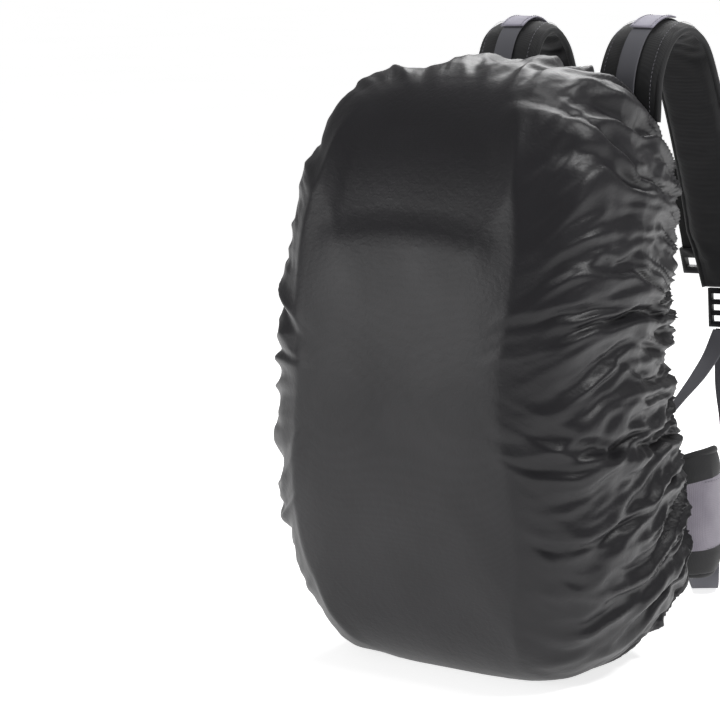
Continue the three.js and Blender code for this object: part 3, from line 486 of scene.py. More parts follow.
# Aluminium bar, extruded: fine lines along it.
finish("extruded_aluminium", colour="B9BBC0", shade="A7A9AE", rough=0.34, metal=1.0, grain=0.8,
       depth=0.05, cloud=30, coordinate="Object")
# Zinc, die-cast and nickel plated: bright with soft edges.
finish("plated_zinc", colour="C6C6CA", shade="AEAEB4", rough=0.26, metal=1.0, grain=1.2,
       depth=0.03, cloud=6, coordinate="Object")
# Music wire, drawn.
finish("drawn_spring_steel", colour="A4A4AA", shade="8E8E96", rough=0.3, metal=1.0, grain=0.6,
       depth=0.03, cloud=6, coordinate="Object")
# Polyester spacer mesh, knitted: a regular net of round holes over a dark backing, with painted shade in
# the holes.
finish("knitted_air_mesh", colour="313131", shade="0C0C0C", rough=0.85, sheen=0.2, net=4.2,
       depth=0.5, cloud=26, coordinate="UV")


def material(name):
    """The named finish as a shader, made once."""
    if name in bpy.data.materials:
        return bpy.data.materials[name]
    facts = FINISHES[name]
    made = bpy.data.materials.new(name)
    made.use_nodes = True
    tree = made.node_tree
    tree.nodes.clear()
    where = add(tree, "ShaderNodeTexCoord")
    place = (where, facts["coordinate"])
    cloud = add(tree, "ShaderNodeTexNoise", {"Scale": 1000 / facts["cloud"] / 2, "Detail": 5.0},
                {"Vector": place})
    ramp = add(tree, "ShaderNodeMapRange", {"From Min": 0.35, "From Max": 0.65}, {"Value": cloud})
    tint = add(tree, "ShaderNodeMix", {"data_type": "RGBA"}, {"Factor": ramp})
    tint.inputs[6].default_value = linear(facts["colour"])
    tint.inputs[7].default_value = linear(facts["shade"])
    height, colour = pattern(tree, place, facts, (tint, 2))
    bump = add(tree, "ShaderNodeBump", {"Strength": facts["depth"] * 2, "Distance": 0.0006},
               {"Height": height})
    if "crush" in facts:
        crush = add(tree, "ShaderNodeTexNoise", {"Scale": 150.0, "Detail": 4.0, "Distortion": 0.6},
                    {"Vector": (where, "Object")})
        bump = add(tree, "ShaderNodeBump", {"Strength": facts["crush"], "Distance": 0.004},
                   {"Height": crush, "Normal": bump})
    rough = add(tree, "ShaderNodeMapRange", {"To Min": facts["rough"] - 0.05,
                                             "To Max": facts["rough"] + 0.06}, {"Value": cloud})
    shader = add(tree, "ShaderNodeBsdfPrincipled", {
        "Metallic": facts.get("metal", 0.0), "Sheen Weight": facts.get("sheen", 0.0),
        "Sheen Roughness": 0.5, "Specular IOR Level": facts.get("gloss", 0.5),
        "Emission Color": (1, 1, 1, 1), "Emission Strength": facts.get("glow", 0.0),
    }, {"Base Color": colour, "Roughness": rough, "Normal": bump})
    add(tree, "ShaderNodeOutputMaterial", {}, {"Surface": shader})
    return made


def pattern(tree, place, facts, tint):
    """The height and the colour of a finish's weave, ribs, net or grain; the colour carries painted
    shade in the relief's hollows and the net's holes, and a painted highlight on its crests.
    """
    if "grain" in facts:
        grain = add(tree, "ShaderNodeTexNoise", {"Scale": 1000 / facts["grain"], "Detail": 3.0},
                    {"Vector": place})
        return (grain, 0), tint
    apart = 1000 / facts.get("weave", facts.get("ribs", facts.get("net", 1.0)))
    parts = add(tree, "ShaderNodeSeparateXYZ", {}, {0: place})
    lines = []
    for axis in range(3):
        turn = add(tree, "ShaderNodeMath", {"operation": "MULTIPLY", 1: apart * 2 * math.pi},
                   {0: (parts, axis)})
        lines.append(add(tree, "ShaderNodeMath", {"operation": "SINE"}, {0: turn}))
    if "ribs" in facts:
        cross = add(tree, "ShaderNodeMath", {"operation": "MULTIPLY", 1: 0.35}, {0: lines[1]})
        height = add(tree, "ShaderNodeMath", {"operation": "ADD"}, {0: lines[0], 1: cross})
    elif "net" in facts:
        height = add(tree, "ShaderNodeMath", {"operation": "MULTIPLY"}, {0: lines[0], 1: lines[1]})
    else:
        pair = add(tree, "ShaderNodeMath", {"operation": "MULTIPLY"}, {0: lines[0], 1: lines[2]})
        if facts["coordinate"] == "UV":
            pair = add(tree, "ShaderNodeMath", {"operation": "MULTIPLY"},
                       {0: lines[0], 1: lines[1]})
        height = add(tree, "ShaderNodeMath", {"operation": "ADD"}, {0: pair, 1: lines[1]}) \
            if facts["coordinate"] == "Object" else pair
    level = add(tree, "ShaderNodeMapRange", {"From Min": -1.2, "From Max": 1.2}, {"Value": height})
    # Painted shade and highlight: the colour follows the relief, darker in its hollows and most in the
    # net's holes, and lighter than its own tone on the crests.
    deep = 0.15 if "net" in facts else 0.55 if "ribs" in facts else 0.93
    dark = add(tree, "ShaderNodeMapRange", {"To Min": deep, "To Max": 1.15}, {"Value": level})
    colour = add(tree, "ShaderNodeMix", {"data_type": "RGBA", "blend_type": "MULTIPLY",
                                         "Factor": 1.0}, {6: tint, 7: dark})
    return (level, 0), (colour, 2)


# ---- Rain cover ------------------------------------------------------------------------------

COVER_AROUND, COVER_ROWS = 640, 144
CORNER_STEP = 0.70  # where the front turns into the sides
SEAM_INSET = 74.0  # from that corner to the seam that joins the side panel to the front


def cover_rows(around, count, inset=0.0, last=2.0):
    """Steps from the front's middle to the hem, evenly spaced along the side."""
    steps = np.linspace(0.02, last, 400)
    line = body_point(np.array(1.0), np.array(0.05), steps, inset)
    gaps = np.linalg.norm(np.diff(line, axis=0), axis=1) * (0.35 + 0.65 * smooth(0.2, 0.5, steps[1:]))
    gone = np.concatenate([[0], gaps.cumsum()])
    return np.interp(np.linspace(0, gone[-1], count), gone, steps)


def mesh_normals(points, faces):
    faces = np.asarray(faces)
    a, b, c = points[faces[:, 0]], points[faces[:, 1]], points[faces[:, 2]]
    flat = np.cross(b - a, c - a)
    normals = np.zeros_like(points)
    for i in range(faces.shape[1]):
        np.add.at(normals, faces[:, i], flat)
    return unit(normals)


class CoverMap:
    """Where each point of the cover lies: its place round the outline and its way from the hem."""

    def __init__(self, around, rows):
        across, up = outline_steps(around)
        self.steps = cover_rows(around, rows)
        self.points = body_point(across[None], up[None], self.steps[:, None])
        self.around = np.broadcast_to((np.arange(around) + 0.5) / around, (rows, around))
        gaps = np.linalg.norm(np.diff(self.points, axis=0), axis=2)
        from_front = np.concatenate([np.zeros((1, around)), gaps.cumsum(axis=0)])
        self.from_hem = from_front[-1:] - from_front
        corner = np.array([np.interp(CORNER_STEP, self.steps, self.from_hem[:, i])
                           for i in range(around)])
        upright = smooth(0.99, 0.80, np.abs(np.sin(self.around * 2 * math.pi)))
        self.corner = corner[None] + SEAM_INSET * upright
        self.share = self.from_hem / self.corner
        self.faces = grid_faces(rows, around, wrap=True)
        self.normals = mesh_normals(self.points.reshape(-1, 3), self.faces).reshape(rows, around, 3)
        if (self.normals[rows // 2, 0] * [1, 0, 0]).sum() < 0:
            self.normals *= -1


GATHER = 0.62
GIRTH = 1900.0
# number round the hem, half width, height, reach towards the front, lean, seed
FOLD_KINDS = (
    (28, 15.0, 15.0, 1.06, 110.0, 5), (46, 9.0, 11.0, 0.96, 80.0, 6),
    (84, 5.5, 6.5, 0.60, 30.0, 7), (150, 3.6, 3.2, 0.30, 8.0, 8),
)


# spacing, length, height, reach and seed of the sharp creases between the folds
CRUMPLES = ((70, 240, 8.0, 1.04, 51), (38, 150, 4.6, 1.0, 52), (20, 80, 1.9, 0.96, 53))


def fold_height(cover):
    """How far the cover's cloth stands off its smooth form: folds that run in from the hem."""
    share, around, hem = cover.share, cover.around, cover.from_hem
    turn = around * 4 * math.pi
    q = (around + np.clip(1 - share, 0, 1) * GATHER * np.sin(turn) / (4 * math.pi)) * GIRTH
    q = q + 16 * waves(q / GIRTH * 14, hem / 120, 3, 14) + 5 * waves(q / GIRTH * 40, hem / 50, 4, 40)
    height = np.zeros_like(share)
    for number, wide, tall, reach, lean, seed in FOLD_KINDS:
        pick = np.random.RandomState(seed)
        for k in range(number):
            centre = (k + pick.uniform(-0.4, 0.4)) / number * GIRTH
            far = min(reach * pick.uniform(0.6, 1.15), 1.08)
            slope, bow = pick.uniform(-lean, lean), pick.uniform(-0.4, 0.4) * lean
            apart = q - centre - slope * share - bow * np.sin(math.pi * np.clip(share / far, 0, 1))
            apart = (apart + GIRTH / 2) % GIRTH - GIRTH / 2
            t = apart / (wide * pick.uniform(0.7, 1.35) * (0.4 + 0.95 * share))
            steep = pick.choice([-1, 1])
            ridge = np.exp(-np.abs(t) ** 1.35 * np.where(t * steep > 0, 1.9, 0.75))
            valley = 0.5 * np.exp(-(((t + steep * -1.25) / 0.5) ** 2))
            fade = smooth(-0.02, 0.06, share) * np.clip(1 - (share / far) ** 2.2, 0, 1)
            height += tall * pick.uniform(0.45, 1.15) * (ridge - valley) * fade
    for apart, long, tall, reach, seed in CRUMPLES:
        number = round(GIRTH / apart)
        n = waves(q / GIRTH * number + share * number / 18, hem / long + 9, seed, number)
        edge = 1 - 1.9 * np.sqrt(n**2 + 0.0025)
        height += tall * edge * smooth(reach, reach - 0.3, share) * smooth(0, 0.08, share)
    up = np.sin(around * 2 * math.pi)
    height *= 1 - 0.6 * smooth(0.55, 0.95, -up) - 0.1 * smooth(0.6, 0.95, up)
    height -= 2.2 * smooth(1.0, 0.6, share)
    height += 1.5 * waves(q / GIRTH * 120, hem / 26, 12, 120) * smooth(1.05, 0.7, share)
    pleat = np.sin(around * 2 * math.pi * 112 + 2.2 * waves(around * 40, hem / 60, 31, 40))
    height += 2.4 * pleat * smooth(46, 5, hem)
    return height


def front_form(cover):
    """The stiff front: a smooth panel that stands out of a shallower band at its top."""
    x, z = cover.points[..., 0], cover.points[..., 2]
    arch = 492 - 34 * (x / 160) ** 2
    panel = smooth(14, -14, z - arch) * smooth(1.02, 1.2, cover.share)
    band = smooth(118, 96, np.abs(x + 4)) * smooth(-20, 30, z - arch) * smooth(640, 590, z)
    up = np.abs(np.sin(cover.around * 2 * math.pi))
    past = cover.from_hem - cover.corner
    apart = np.sqrt(past**2 + 9) - 3
    seam = 8.5 * np.exp(-apart / np.where(past > 0, 60, 34)) * smooth(0.99, 0.86, up)
    dent = seam - 8.0 * (1 - panel) * smooth(0.95, 1.25, cover.share) * smooth(430, 520, z)
    lazy = 1.6 * waves(x / 150 + 4, z / 190 + 7, 41)
    return dent + 2.5 * band * smooth(0.95, 1.2, cover.share) + lazy * smooth(0.9, 1.3, cover.share)


def make_cover():
    cover = CoverMap(COVER_AROUND, COVER_ROWS)
    lift = fold_height(cover) + front_form(cover)
    keep = smooth(0, 14, cover.points[..., 2])
    lift = np.where(lift < -8, -8 + (lift + 8) * 0.35, lift)
    lift = np.where(lift > 14, 14 + (lift - 14) * 0.4, lift) * (0.15 + 0.85 * keep)
    points = cover.points + cover.normals * lift[..., None]
    points[..., 2] = np.maximum(points[..., 2], 0.4)
    around = cover.share.shape[1]
    points = points.reshape(-1, 3)
    faces = list(cover.faces)
    pole = len(points)
    points = np.vstack([points, points[:around].mean(axis=0)])
    faces += [(pole, (i + 1) % around, i) for i in range(around)]
    uv = np.stack([cover.around * GIRTH, cover.from_hem], axis=-1).reshape(-1, 2)
    uv = np.vstack([uv, [0, cover.from_hem[0, 0]]])
    piece = build("rain_cover", points, faces, "coated_polyester_taffeta", uv=uv,
                  slot="cover_cloth", replaces=("cover_shell",))
    outward(piece)
    return piece


# ---- Hem, pack and back system ------------------------------------------------------------------


def round_section(radius, sides, flat=1.0):
    angle = np.arange(sides) / sides * 2 * math.pi
    return np.stack([np.cos(angle) * radius, np.sin(angle) * radius * flat], axis=1)


def loop_tube(name, route, radii, sides, finish, **more):
    """A closed ring of round section; radii is one radius for each station."""
    along = unit(np.roll(route, -1, axis=0) - np.roll(route, 1, axis=0))
    wide = np.broadcast_to([0.0, 1.0, 0.0], route.shape)
    side = unit(wide - (wide * along).sum(1)[:, None] * along)
    out = unit(np.cross(side, along))
    ring = round_section(1.0, sides)
    points = route[:, None] + radii[:, None, None] * (side[:, None] * ring[None, :, :1]
                                                      + out[:, None] * ring[None, :, 1:])
    rows = len(route)
    faces = [(r * sides + c, r * sides + (c + 1) % sides,
              (r + 1) % rows * sides + (c + 1) % sides, (r + 1) % rows * sides + c)
             for r in range(rows) for c in range(sides)]
    gone = np.linalg.norm(np.roll(route, -1, axis=0) - route, axis=1).cumsum()
    uv = np.stack([np.broadcast_to(np.arange(sides) * 1.6, (rows, sides)),
                   np.broadcast_to(gone[:, None], (rows, sides))], axis=-1).reshape(-1, 2)
    piece = build(name, points.reshape(-1, 3), faces, finish, uv=uv, **more)
    outward(piece)
    return piece


def outline_loop(count, inset, proud):
    """A closed route round the back, inset from the hem and proud of the back surface."""
    across, up = outline_steps(count)
    level = np.maximum(MIDDLE + (HALF_HEIGHT - HEM_END - inset) * up, 0)
    x = (HALF_WIDTH - HEM_SIDE - inset) * (1 - HEM_TAPER * level / HEIGHT) * across
    return np.stack([x, back_y(level) + proud, level], axis=1)


def free_cord(line):
    """Works out a smooth route along a cord's or hanging strap end's line, and keeps nothing of it."""
    route = spline(line, 300)


def make_hem():
    route = outline_loop(900, 0.0, 2.0)
    turn = np.arange(900) / 900 * 2 * math.pi
    ruche = 4.6 + 0.9 * np.sin(turn * 112) + 0.9 * waves(turn * 22, turn * 0 + 3, 61, 138)
    route = route + unit(route - [0, 0, MIDDLE])[:, :] * 0.8 * np.sin(turn * 112 + 1.2)[:, None]
    loop_tube("hem_casing", route, ruche, 12, "coated_polyester_taffeta", slot="cover_cloth",
              replaces=("hem_elastic",))
    start = [0, back_y(HEM_LOW) + 3.0, HEM_LOW]
    for name, side in SIDES.items():
        line = [[side * 12, start[1], HEM_LOW + 1], [side * 3, start[1] + 5, HEM_LOW],
                [side * 1.9, start[1] + 20, HEM_LOW], [side * 1.9, start[1] + 36, HEM_LOW],
                [side * 2.4, start[1] + 45, HEM_LOW - 1.5]]
        piece = sweep(f"elastic_end_{name}", spline(line, 60), [0, 0, 1], round_section(1.6, 10),
                      "braided_elastic", slot="elastic_cord")
        free_cord(line)


def make_pack_body():
    around, rows = 160, 44
    across, up = outline_steps(around)
    steps = cover_rows(around, rows, 15.0)
    points = body_point(across[None], up[None], steps[:, None], 15.0)
    points[..., 2] = np.maximum(points[..., 2], 9)
    rim = outline_loop(around, 4.0, -3.0)
    rings = [rim]
    for share, deep in ((0.97, -1.0), (0.9, -2.0), (0.82, -14.0), (0.5, -14.0), (0.1, -14.0)):
        ring = rim * 1.0
        ring[:, 0] *= share
        ring[:, 2] = MIDDLE + (rim[:, 2] - MIDDLE) * share
        ring[:, 1] = back_y(ring[:, 2]) + deep
        rings.append(ring)
    points = np.concatenate([points, np.stack(rings)])
    rows = len(points)
    faces = grid_faces(rows, around, wrap=True)
    flat = points.reshape(-1, 3)
    front, rear = len(flat), len(flat) + 1
    flat = np.vstack([flat, points[0].mean(axis=0), points[-1].mean(axis=0)])
    last = (rows - 1) * around
    faces += [(front, (i + 1) % around, i) for i in range(around)]
    faces += [(rear, last + i, last + (i + 1) % around) for i in range(around)]
    piece = build("pack_cloth", flat, faces, "nylon_pack_cloth", slot="pack_cloth",
                  replaces=("pack_body",))
    outward(piece)


def slab(name, low, high, span, near, far, finish, across=40, up=60, edge=8.0, crown=0.0, sewn=(),
         **more):
    """A closed pad on the back surface: rounded at its edges, crowned, and drawn in along seams."""
    z = np.linspace(low, high, up)[:, None]
    ends = np.array([span(v) for v in z[:, 0]])
    left, right = ends[:, :1], ends[:, 1:]
    u = np.linspace(0, 1, across)[None]
    x = left + (right - left) * (0.5 - 0.5 * np.cos(u * math.pi))
    z = np.broadcast_to(z, x.shape)
    margin = np.minimum(np.minimum(x - left, right - x), np.minimum(z - low, high - z))
    dome = np.sqrt(1 - (1 - np.clip(margin / edge, 0, 1)) ** 2)
    half = np.maximum((right - left) / 2, 8)
    lift = near + (far - near) * (0.12 + 0.88 * dome)
    lift = lift + crown * smooth(0, 1, np.clip(margin / half, 0, 1))
    for inset, deep in sewn:
        lift = lift - deep * np.exp(-((margin - inset) / 1.6) ** 2) * (margin > 1)
    lift = lift + 0.5 * waves(x / 23 + 5, z / 23 + 9, len(name)) * dome
    front = np.stack([x, back_y(z) + lift, z], axis=-1)
    rear = np.stack([x, back_y(z) + near, z], axis=-1)
    points = np.concatenate([front.reshape(-1, 3), rear.reshape(-1, 3)])
    faces = two_sided_faces(up, across)
    uv = np.stack([points[:, 0] + 300, points[:, 2]], axis=-1)
    piece = build(name, points, faces, finish, uv=uv, **more)
    outward(piece)
    return piece


def held_behind(piece, proud):
    """Holds the points of a pad that lie on the back surface while it is stuffed."""
    co = mesh_co(piece.data) / MM
    group = piece.vertex_groups.new(name="held")
    near = np.nonzero(co[:, 1] - back_y(co[:, 2]) < proud)[0]
    group.add(near.tolist(), 1.0, "REPLACE")
    return "held"


def stuff(piece, cap, pressure, proud):
    simulate(piece, cap, pressure, pin=held_behind(piece, proud), bending=0.3)


def panel_span(inset):
    def span(z):
        half = back_half_width(z, inset)
        return [-half, half]
    return span


def pad_span(side):
    """A crescent: its inner edge swells towards the spine and its outer edge follows the panel."""
    def span(z):
        outer = back_half_width(z, 16) - 26
        inner = outer - 14 - 58 * math.sqrt(max(1 - ((z - 344) / 118) ** 2, 0))
        return [inner, outer] if side > 0 else [-outer, -inner]
    return span


def make_back():
    panel = slab("back_mesh", 50, 588, panel_span(16), -7, 0.2, "knitted_air_mesh", 70, 150, 5.0,
                 slot="mesh_cloth", replaces=("back_panel",))
    yoke = slab("yoke", YOKE_LOW, YOKE_HIGH, panel_span(22), 0.3, 6.4, "grey_oxford", 80, 40, 7.0, 1.0,
                sewn=((7, 1.8),), slot="grey_cloth", replaces=("yoke_panel",))
    stuff(yoke, 3.0, 3.0, 1.6)
    strip = slab("yoke_tape", 470, YOKE_LOW, panel_span(20), 0.3, 3.0, "nylon_pack_cloth", 60, 14, 3.0,
                 sewn=((3.4, 0.7),), slot="pack_cloth")
    for name, side in SIDES.items():
        pad = slab(f"crescent_pad_{name}", CRESCENT_LOW, CRESCENT_HIGH, pad_span(side), 0.3,
                   13.2, "grey_oxford", 40, 90, 13.0, 1.5, sewn=((9, 2.6),), slot="grey_cloth",
                   replaces=(f"back_pad_{name}",))
        stuff(pad, 4.5, 4.0, 2.5)
    route = outline_loop(560, 8.0, -1.0)
    turn = np.arange(560) / 560 * 2 * math.pi
    radii = 4.0 + 0.14 * np.sin(turn * 210) + 0.12 * waves(turn * 30, turn * 0 + 2, 71, 188)
    loop_tube("piping", route, radii, 14, "twill_piping", slot="piping_cloth",
              replaces=("back_piping",))
    make_lumbar()


LUMBAR_SEAMS = ((0.50, 2.6), (0.80, 2.8))


def make_lumbar():
    around, rings = 96, 56
    angle = np.arange(around)[None] / around * 2 * math.pi
    r = np.linspace(0.02, 1, rings)[:, None]
    x = LUMBAR_HALF_WIDTH * r * bent(np.cos(angle), 0.86)
    z = LUMBAR_MIDDLE + LUMBAR_HALF_HEIGHT * r * bent(np.sin(angle), 0.86)
    rise = 27 * np.sqrt(np.maximum(1 - r**2.2, 0))
    for at, deep in LUMBAR_SEAMS:
        rise = rise - deep * np.exp(-((r - at) / 0.022) ** 2)
    y = np.maximum(back_y(LUMBAR_MIDDLE) + rise + 0.6 * waves(x / 20 + 7, z / 20, 5) * (1 - r),
                   back_y(z) + 0.4)
    front = np.stack([x, y, z], axis=-1)
    rear = front[-1:] * 1.0
    rear[..., 1] = back_y(rear[..., 2]) - 2
    points = np.concatenate([front, rear])
    faces = grid_faces(rings + 1, around, wrap=True)
    flat = points.reshape(-1, 3)
    faces.append(tuple(range(around)))
    faces.append(tuple(range(rings * around, (rings + 1) * around))[::-1])
    piece = build("lumbar_cushion", flat, faces, "nylon_pack_cloth", slot="pack_cloth",
                  replaces=("lumbar_pad",))
    outward(piece)
    stuff(piece, 3.0, 3.0, 1.0)
    lines = []
    for at, _ in LUMBAR_SEAMS:
        row = int(np.argmin(np.abs(r[:, 0] - at - 0.045)))
        ring = np.concatenate([front[row], front[row][:1]]) + [0, 1.0, 0]
        lines.append((ring, [0, 1, 0]))
    stitches("lumbar_stitches", lines, "dark_thread", slot="pack_cloth")


# ---- Harness -------------------------------------------------------------------------------------

ROUTES = {name: spline(points, 400) for name, points in STRAP_ROUTES.items()}
ROUTE_LENGTH = {name: float(np.linalg.norm(np.diff(line, axis=0), axis=1).sum())
                for name, line in ROUTES.items()}


def strap_frame(name, share):
    """A shoulder strap's middle, direction, width and outward direction at each share."""
    share = np.atleast_1d(np.asarray(share, float))
    line = ROUTES[name]
    ahead = tangents(line)
    at = np.stack([np.interp(share * 399, range(400), line[:, i]) for i in range(3)], axis=1)
    along = unit(np.stack([np.interp(share * 399, range(400), ahead[:, i]) for i in range(3)],
                          axis=1))
    across = np.array([1.0, 0, 0])
    side = unit(across - along[:, :1] * along)
    return at, along, side, np.cross(side, along)


def share_at_level(name, level):
    line = ROUTES[name]
    down = np.nonzero((np.arange(400) > 160) & (line[:, 2] <= level))[0]
    return down[0] / 399 if len(down) else 1.0


def on_strap(name, start, end, count, lift, shift=0.0):
    at, _, side, out = strap_frame(name, np.linspace(start, end, count))
    return at + out * np.broadcast_to(lift, (count,))[:, None] + side * shift


def pad_section(count, narrow, crown):
    """Half of the shoulder pad's section, from edge to edge over the outer face."""
    u = 0.5 * np.cos(np.linspace(math.pi, 0, count))
    face = np.sqrt(np.maximum(1 - np.abs(2 * u) ** 3.6, 0))
    outer = 1.6 + 5.6 * face + crown * (1 - np.abs(2 * u) ** 2)
    inner = -(1.6 + 5.4 * face)
    width = PAD_WIDTH * narrow
    return np.concatenate([np.stack([u * width, outer], axis=1),
                           np.stack([u[::-1] * width, inner[::-1]], axis=1)])


PAD_STATIONS, PAD_ACROSS = 150, 21


def make_shoulder_strap(name):
    band_share = share_at_level(name, BAND_LEVEL)
    shares = np.linspace(0, 1, PAD_STATIONS)
    at, along, side, out = strap_frame(name, shares)
    narrow = 1 - 0.45 * np.maximum(shares - 0.86, 0) / 0.14
    crown = 2.6 * smooth(0, 0.06, shares) * smooth(1, 0.94, shares)
    section = np.stack([pad_section(PAD_ACROSS, n, c) for n, c in zip(narrow, crown)])
    inside = np.linalg.norm(np.gradient(along, axis=0), axis=1)
    buckle = smooth(0.012, 0.05, inside)[:, None]
    ripple = waves(shares[:, None] * 34, section[..., 0] / 26 + 9, 81 + SIDES[name])
    section[..., 1] += np.where(section[..., 1] < 0, -1, 0.4) * (0.4 + 1.6 * buckle) * ripple
    route = ROUTES[name][np.round(shares * 399).astype(int)]
    piece = sweep(f"shoulder_strap_{name}", route, [1, 0, 0], section,
                  ["nylon_pack_cloth", "grey_oxford"], slot="pack_cloth",
                  replaces=(f"shoulder_pad_{name}",))
    for face in piece.data.polygons:
        row, column = divmod(min(face.vertices), 2 * PAD_ACROSS)
        if (row / (PAD_STATIONS - 1) > band_share and 4 <= column < PAD_ACROSS - 5
                and len(face.vertices) == 4):
            face.material_index = 1
    simulate(piece, 2.5, 2.0, bending=0.6)
    lines = []
    for edge in (-1, 1):
        half = PAD_WIDTH * narrow / 2 - 2.2
        tape = at + side * (edge * half)[:, None]
        sweep(f"strap_binding_{name}_{'outer' if edge > 0 else 'inner'}", tape, [1, 0, 0],
              round_section(4.4, 12, 0.86), "nylon_pack_cloth", slot="pack_cloth")
        seam = at + side * (edge * (half - 5.6))[:, None] + out * (7.4 + crown * 0.45)[:, None]
        lines.append((seam, out))
    stitches(f"strap_stitches_{name}", lines, slot="grey_webbing")
    top = on_strap(name, 0.02, 0.985, 120, WEBBING_LIFT - 0.4)
    webbing(f"centre_webbing_{name}", top, [1, 0, 0], 25, 1.6, "grey_webbing", 5, 0.08,
            slot="grey_webbing", replaces=(f"strap_webbing_{name}",))
    half = 17 / ROUTE_LENGTH[name]
    band = on_strap(name, band_share - half, band_share + half, 22, OVER_WEBBING)
    u = np.linspace(-42.5, 42.5, 31)
    drop = -9.5 * smooth(34, 43, np.abs(u)) - 1.0 * smooth(12, 20, np.abs(u)) + 0.3
    layer = np.concatenate([np.stack([u, drop + 0.9], axis=1),
                            np.stack([u[::-1], drop[::-1] - 0.9], axis=1)])
    sweep(f"cross_band_{name}", band, [1, 0, 0], layer, "grey_webbing", slot="grey_webbing",
          replaces=(f"strap_band_{name}",))
    rows = []
    for share in (0.12, 0.88):
        frame_at = strap_frame(name, band_share + (share - 0.5) * 2 * half)
        line = [frame_at[0][0] + frame_at[2][0] * v + frame_at[3][0] * (
            OVER_WEBBING + 1.3 - 9.5 * smooth(34, 43, abs(v)) - smooth(12, 20, abs(v)))
            for v in np.linspace(-38, 38, 40)]
        rows.append((line, frame_at[3][0]))
    half = 19 / ROUTE_LENGTH[name]
    patch = on_strap(name, 0.25 - half, 0.25 + half, 30, OVER_WEBBING + 1.2)
    webbing(f"crest_patch_{name}", patch, [1, 0, 0], 31, 2.0, "twill_piping", 9, 0.2,
            slot="piping_cloth", replaces=(f"strap_patch_{name}",))
    for v in (-12, 12):
        rows.append((patch + np.array([v, 0, 0]) + strap_frame(
            name, np.linspace(0.25 - half, 0.25 + half, 30))[3] * 1.2, strap_frame(name, 0.25)[3]))
    stitches(f"band_stitches_{name}", rows, "thread", slot="grey_webbing")


def local_frame(name, share, lift):
    """An origin on a strap, with its across, out and up directions."""
    at, along, side, out = (v[0] for v in strap_frame(name, share))
    return at + out * lift, side, out, -along


def placed(frame_at, points):
    origin, side, out, up = frame_at
    return np.array([origin + side * x + out * y + up * z for x, y, z in points])


def make_sternum(name, side):
    frame_at = local_frame(name, share_at_level(name, SLIDER_LEVEL), WEBBING_LIFT)
    edge = -side * (PAD_WIDTH / 2 + 12)
    drop = 105 if side > 0 else 34
    line = placed(frame_at, [[edge, 0, 5], [edge, 0, -drop / 3], [edge, 0, -drop * 0.7],
                             [edge, 0, -drop]])
    webbing(f"sternum_webbing_{name}", line, frame_at[1], 20, 1.7, "black_webbing", 13, 0.3,
            doubled=(12, 10), slot="black_webbing", replaces=(f"sternum_strap_{name}",),
            body=f"sternum_half_{name}")


def make_lower_webbing(name, side):
    end = local_frame(name, 1.0, 0)
    origin, _, out, up = end
    gate = origin - up * 49 + out * PAD_THICK / 2
    tab_x = side * (back_half_width(226, 16) - 12)
    away = back_y(226) + 18
    line = [[gate[0], gate[1] - 3, gate[2] - 2], [gate[0] + side * 4, gate[1] - 40, gate[2] - 32],
            [tab_x + side * 6, away + 24, 258], [tab_x, away, 238]]
    piece = webbing(f"lower_strap_{name}", line, turned([1, 0, 0], [0.75, side * -0.5, 0.4]), 25,
                    1.7, "grey_webbing", 17, 0.4, slot="grey_webbing",
                    replaces=(f"lower_webbing_{name}",), body=None)
    tuple(float(v) * MM for v in line[0])
    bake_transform(piece)
    tail_end = 16 if side > 0 else 62
    beyond = 318 + 26
    line = [[gate[0], gate[1] + 3, gate[2] - 2], [gate[0], beyond - 6, gate[2] - 50],
            [gate[0] + side * 4, beyond + 2, gate[2] - 130],
            [gate[0] + side * 12, beyond, tail_end]]
    piece = webbing(f"spare_end_{name}", line, [1, 0, 0], 25, 1.7, "grey_webbing", 19 + side, 1.4,
                    doubled=(0, 26), slot="grey_webbing", replaces=(f"webbing_tail_{name}",),
                    body=f"ladder_{name}")
    free_cord(line)
    low, high = ANCHOR_LOW, ANCHOR_HIGH
    tab = slab(f"anchor_{name}", low, high,
               lambda z: [tab_x - 5 - 6 * (z - low) / 32, tab_x + 5 + 6 * (z - low) / 32], 0.3, 3.4,
               "nylon_pack_cloth", 16, 16, 2.0, slot="black_webbing",
               replaces=(f"anchor_tab_{name}",))


def make_loops():
    y, low, half = back_y(HAUL_ROOT) + 14, HAUL_ROOT + 6, 31
    line = [[-half, y, low], [-half, y, low + 25.3], [-half / 2, y, low + 46],
            [half / 2, y, low + 46], [half, y, low + 25.3], [half, y, low]]
    webbing("grab_loop", line, [0, 1, 0], 20, 3.0, "grey_webbing", 23, 0.4, slot="grey_webbing",
            replaces=("haul_loop",), body="haul_loop")
    line = [[x, back_y(z) + lift, z] for x, z, lift in
            ((-24, 472, 13), (-32, 446, 19), (-56, 370, 19), (-80, 304, 19))]
    webbing("back_length_strap", line, [1, 0, 0], 30, 1.7, "grey_webbing", 29, 0.7,
            doubled=(0, 30), slot="grey_webbing", replaces=("torso_strap",))
    route = spline(line, 60)
    ahead = unit(route[-1] - route[-12])
    side = unit(np.cross([0, 1, 0], ahead))
    end = route[-1] + np.array([0, 2.6, 0])
    corners = [end + side * a - ahead * b for a, b in
               ((-12, 3), (12, 3), (12, 26), (-12, 26), (-12, 3), (12, 26), (12, 3), (-12, 26))]
    stitches("box_stitch", [([a, b], [0, 1, 0]) for a, b in zip(corners, corners[1:])], "thread",
             slot="grey_webbing")
    share = share_at_level("right", LABEL_LEVEL)
    half = 37 / ROUTE_LENGTH["right"]
    tape = on_strap("right", share - half, share + half, 40, OVER_WEBBING + 0.5)
    webbing("blank_label", tape, [1, 0, 0], 26, 0.9, "satin_label_tape", 31, 0.25,
            slot="label_tape", replaces=("strap_label",))


# ---- Hip belt --------------------------------------------------------------------------------------

FIN_ACROSS, FIN_COUNT = 27, 84


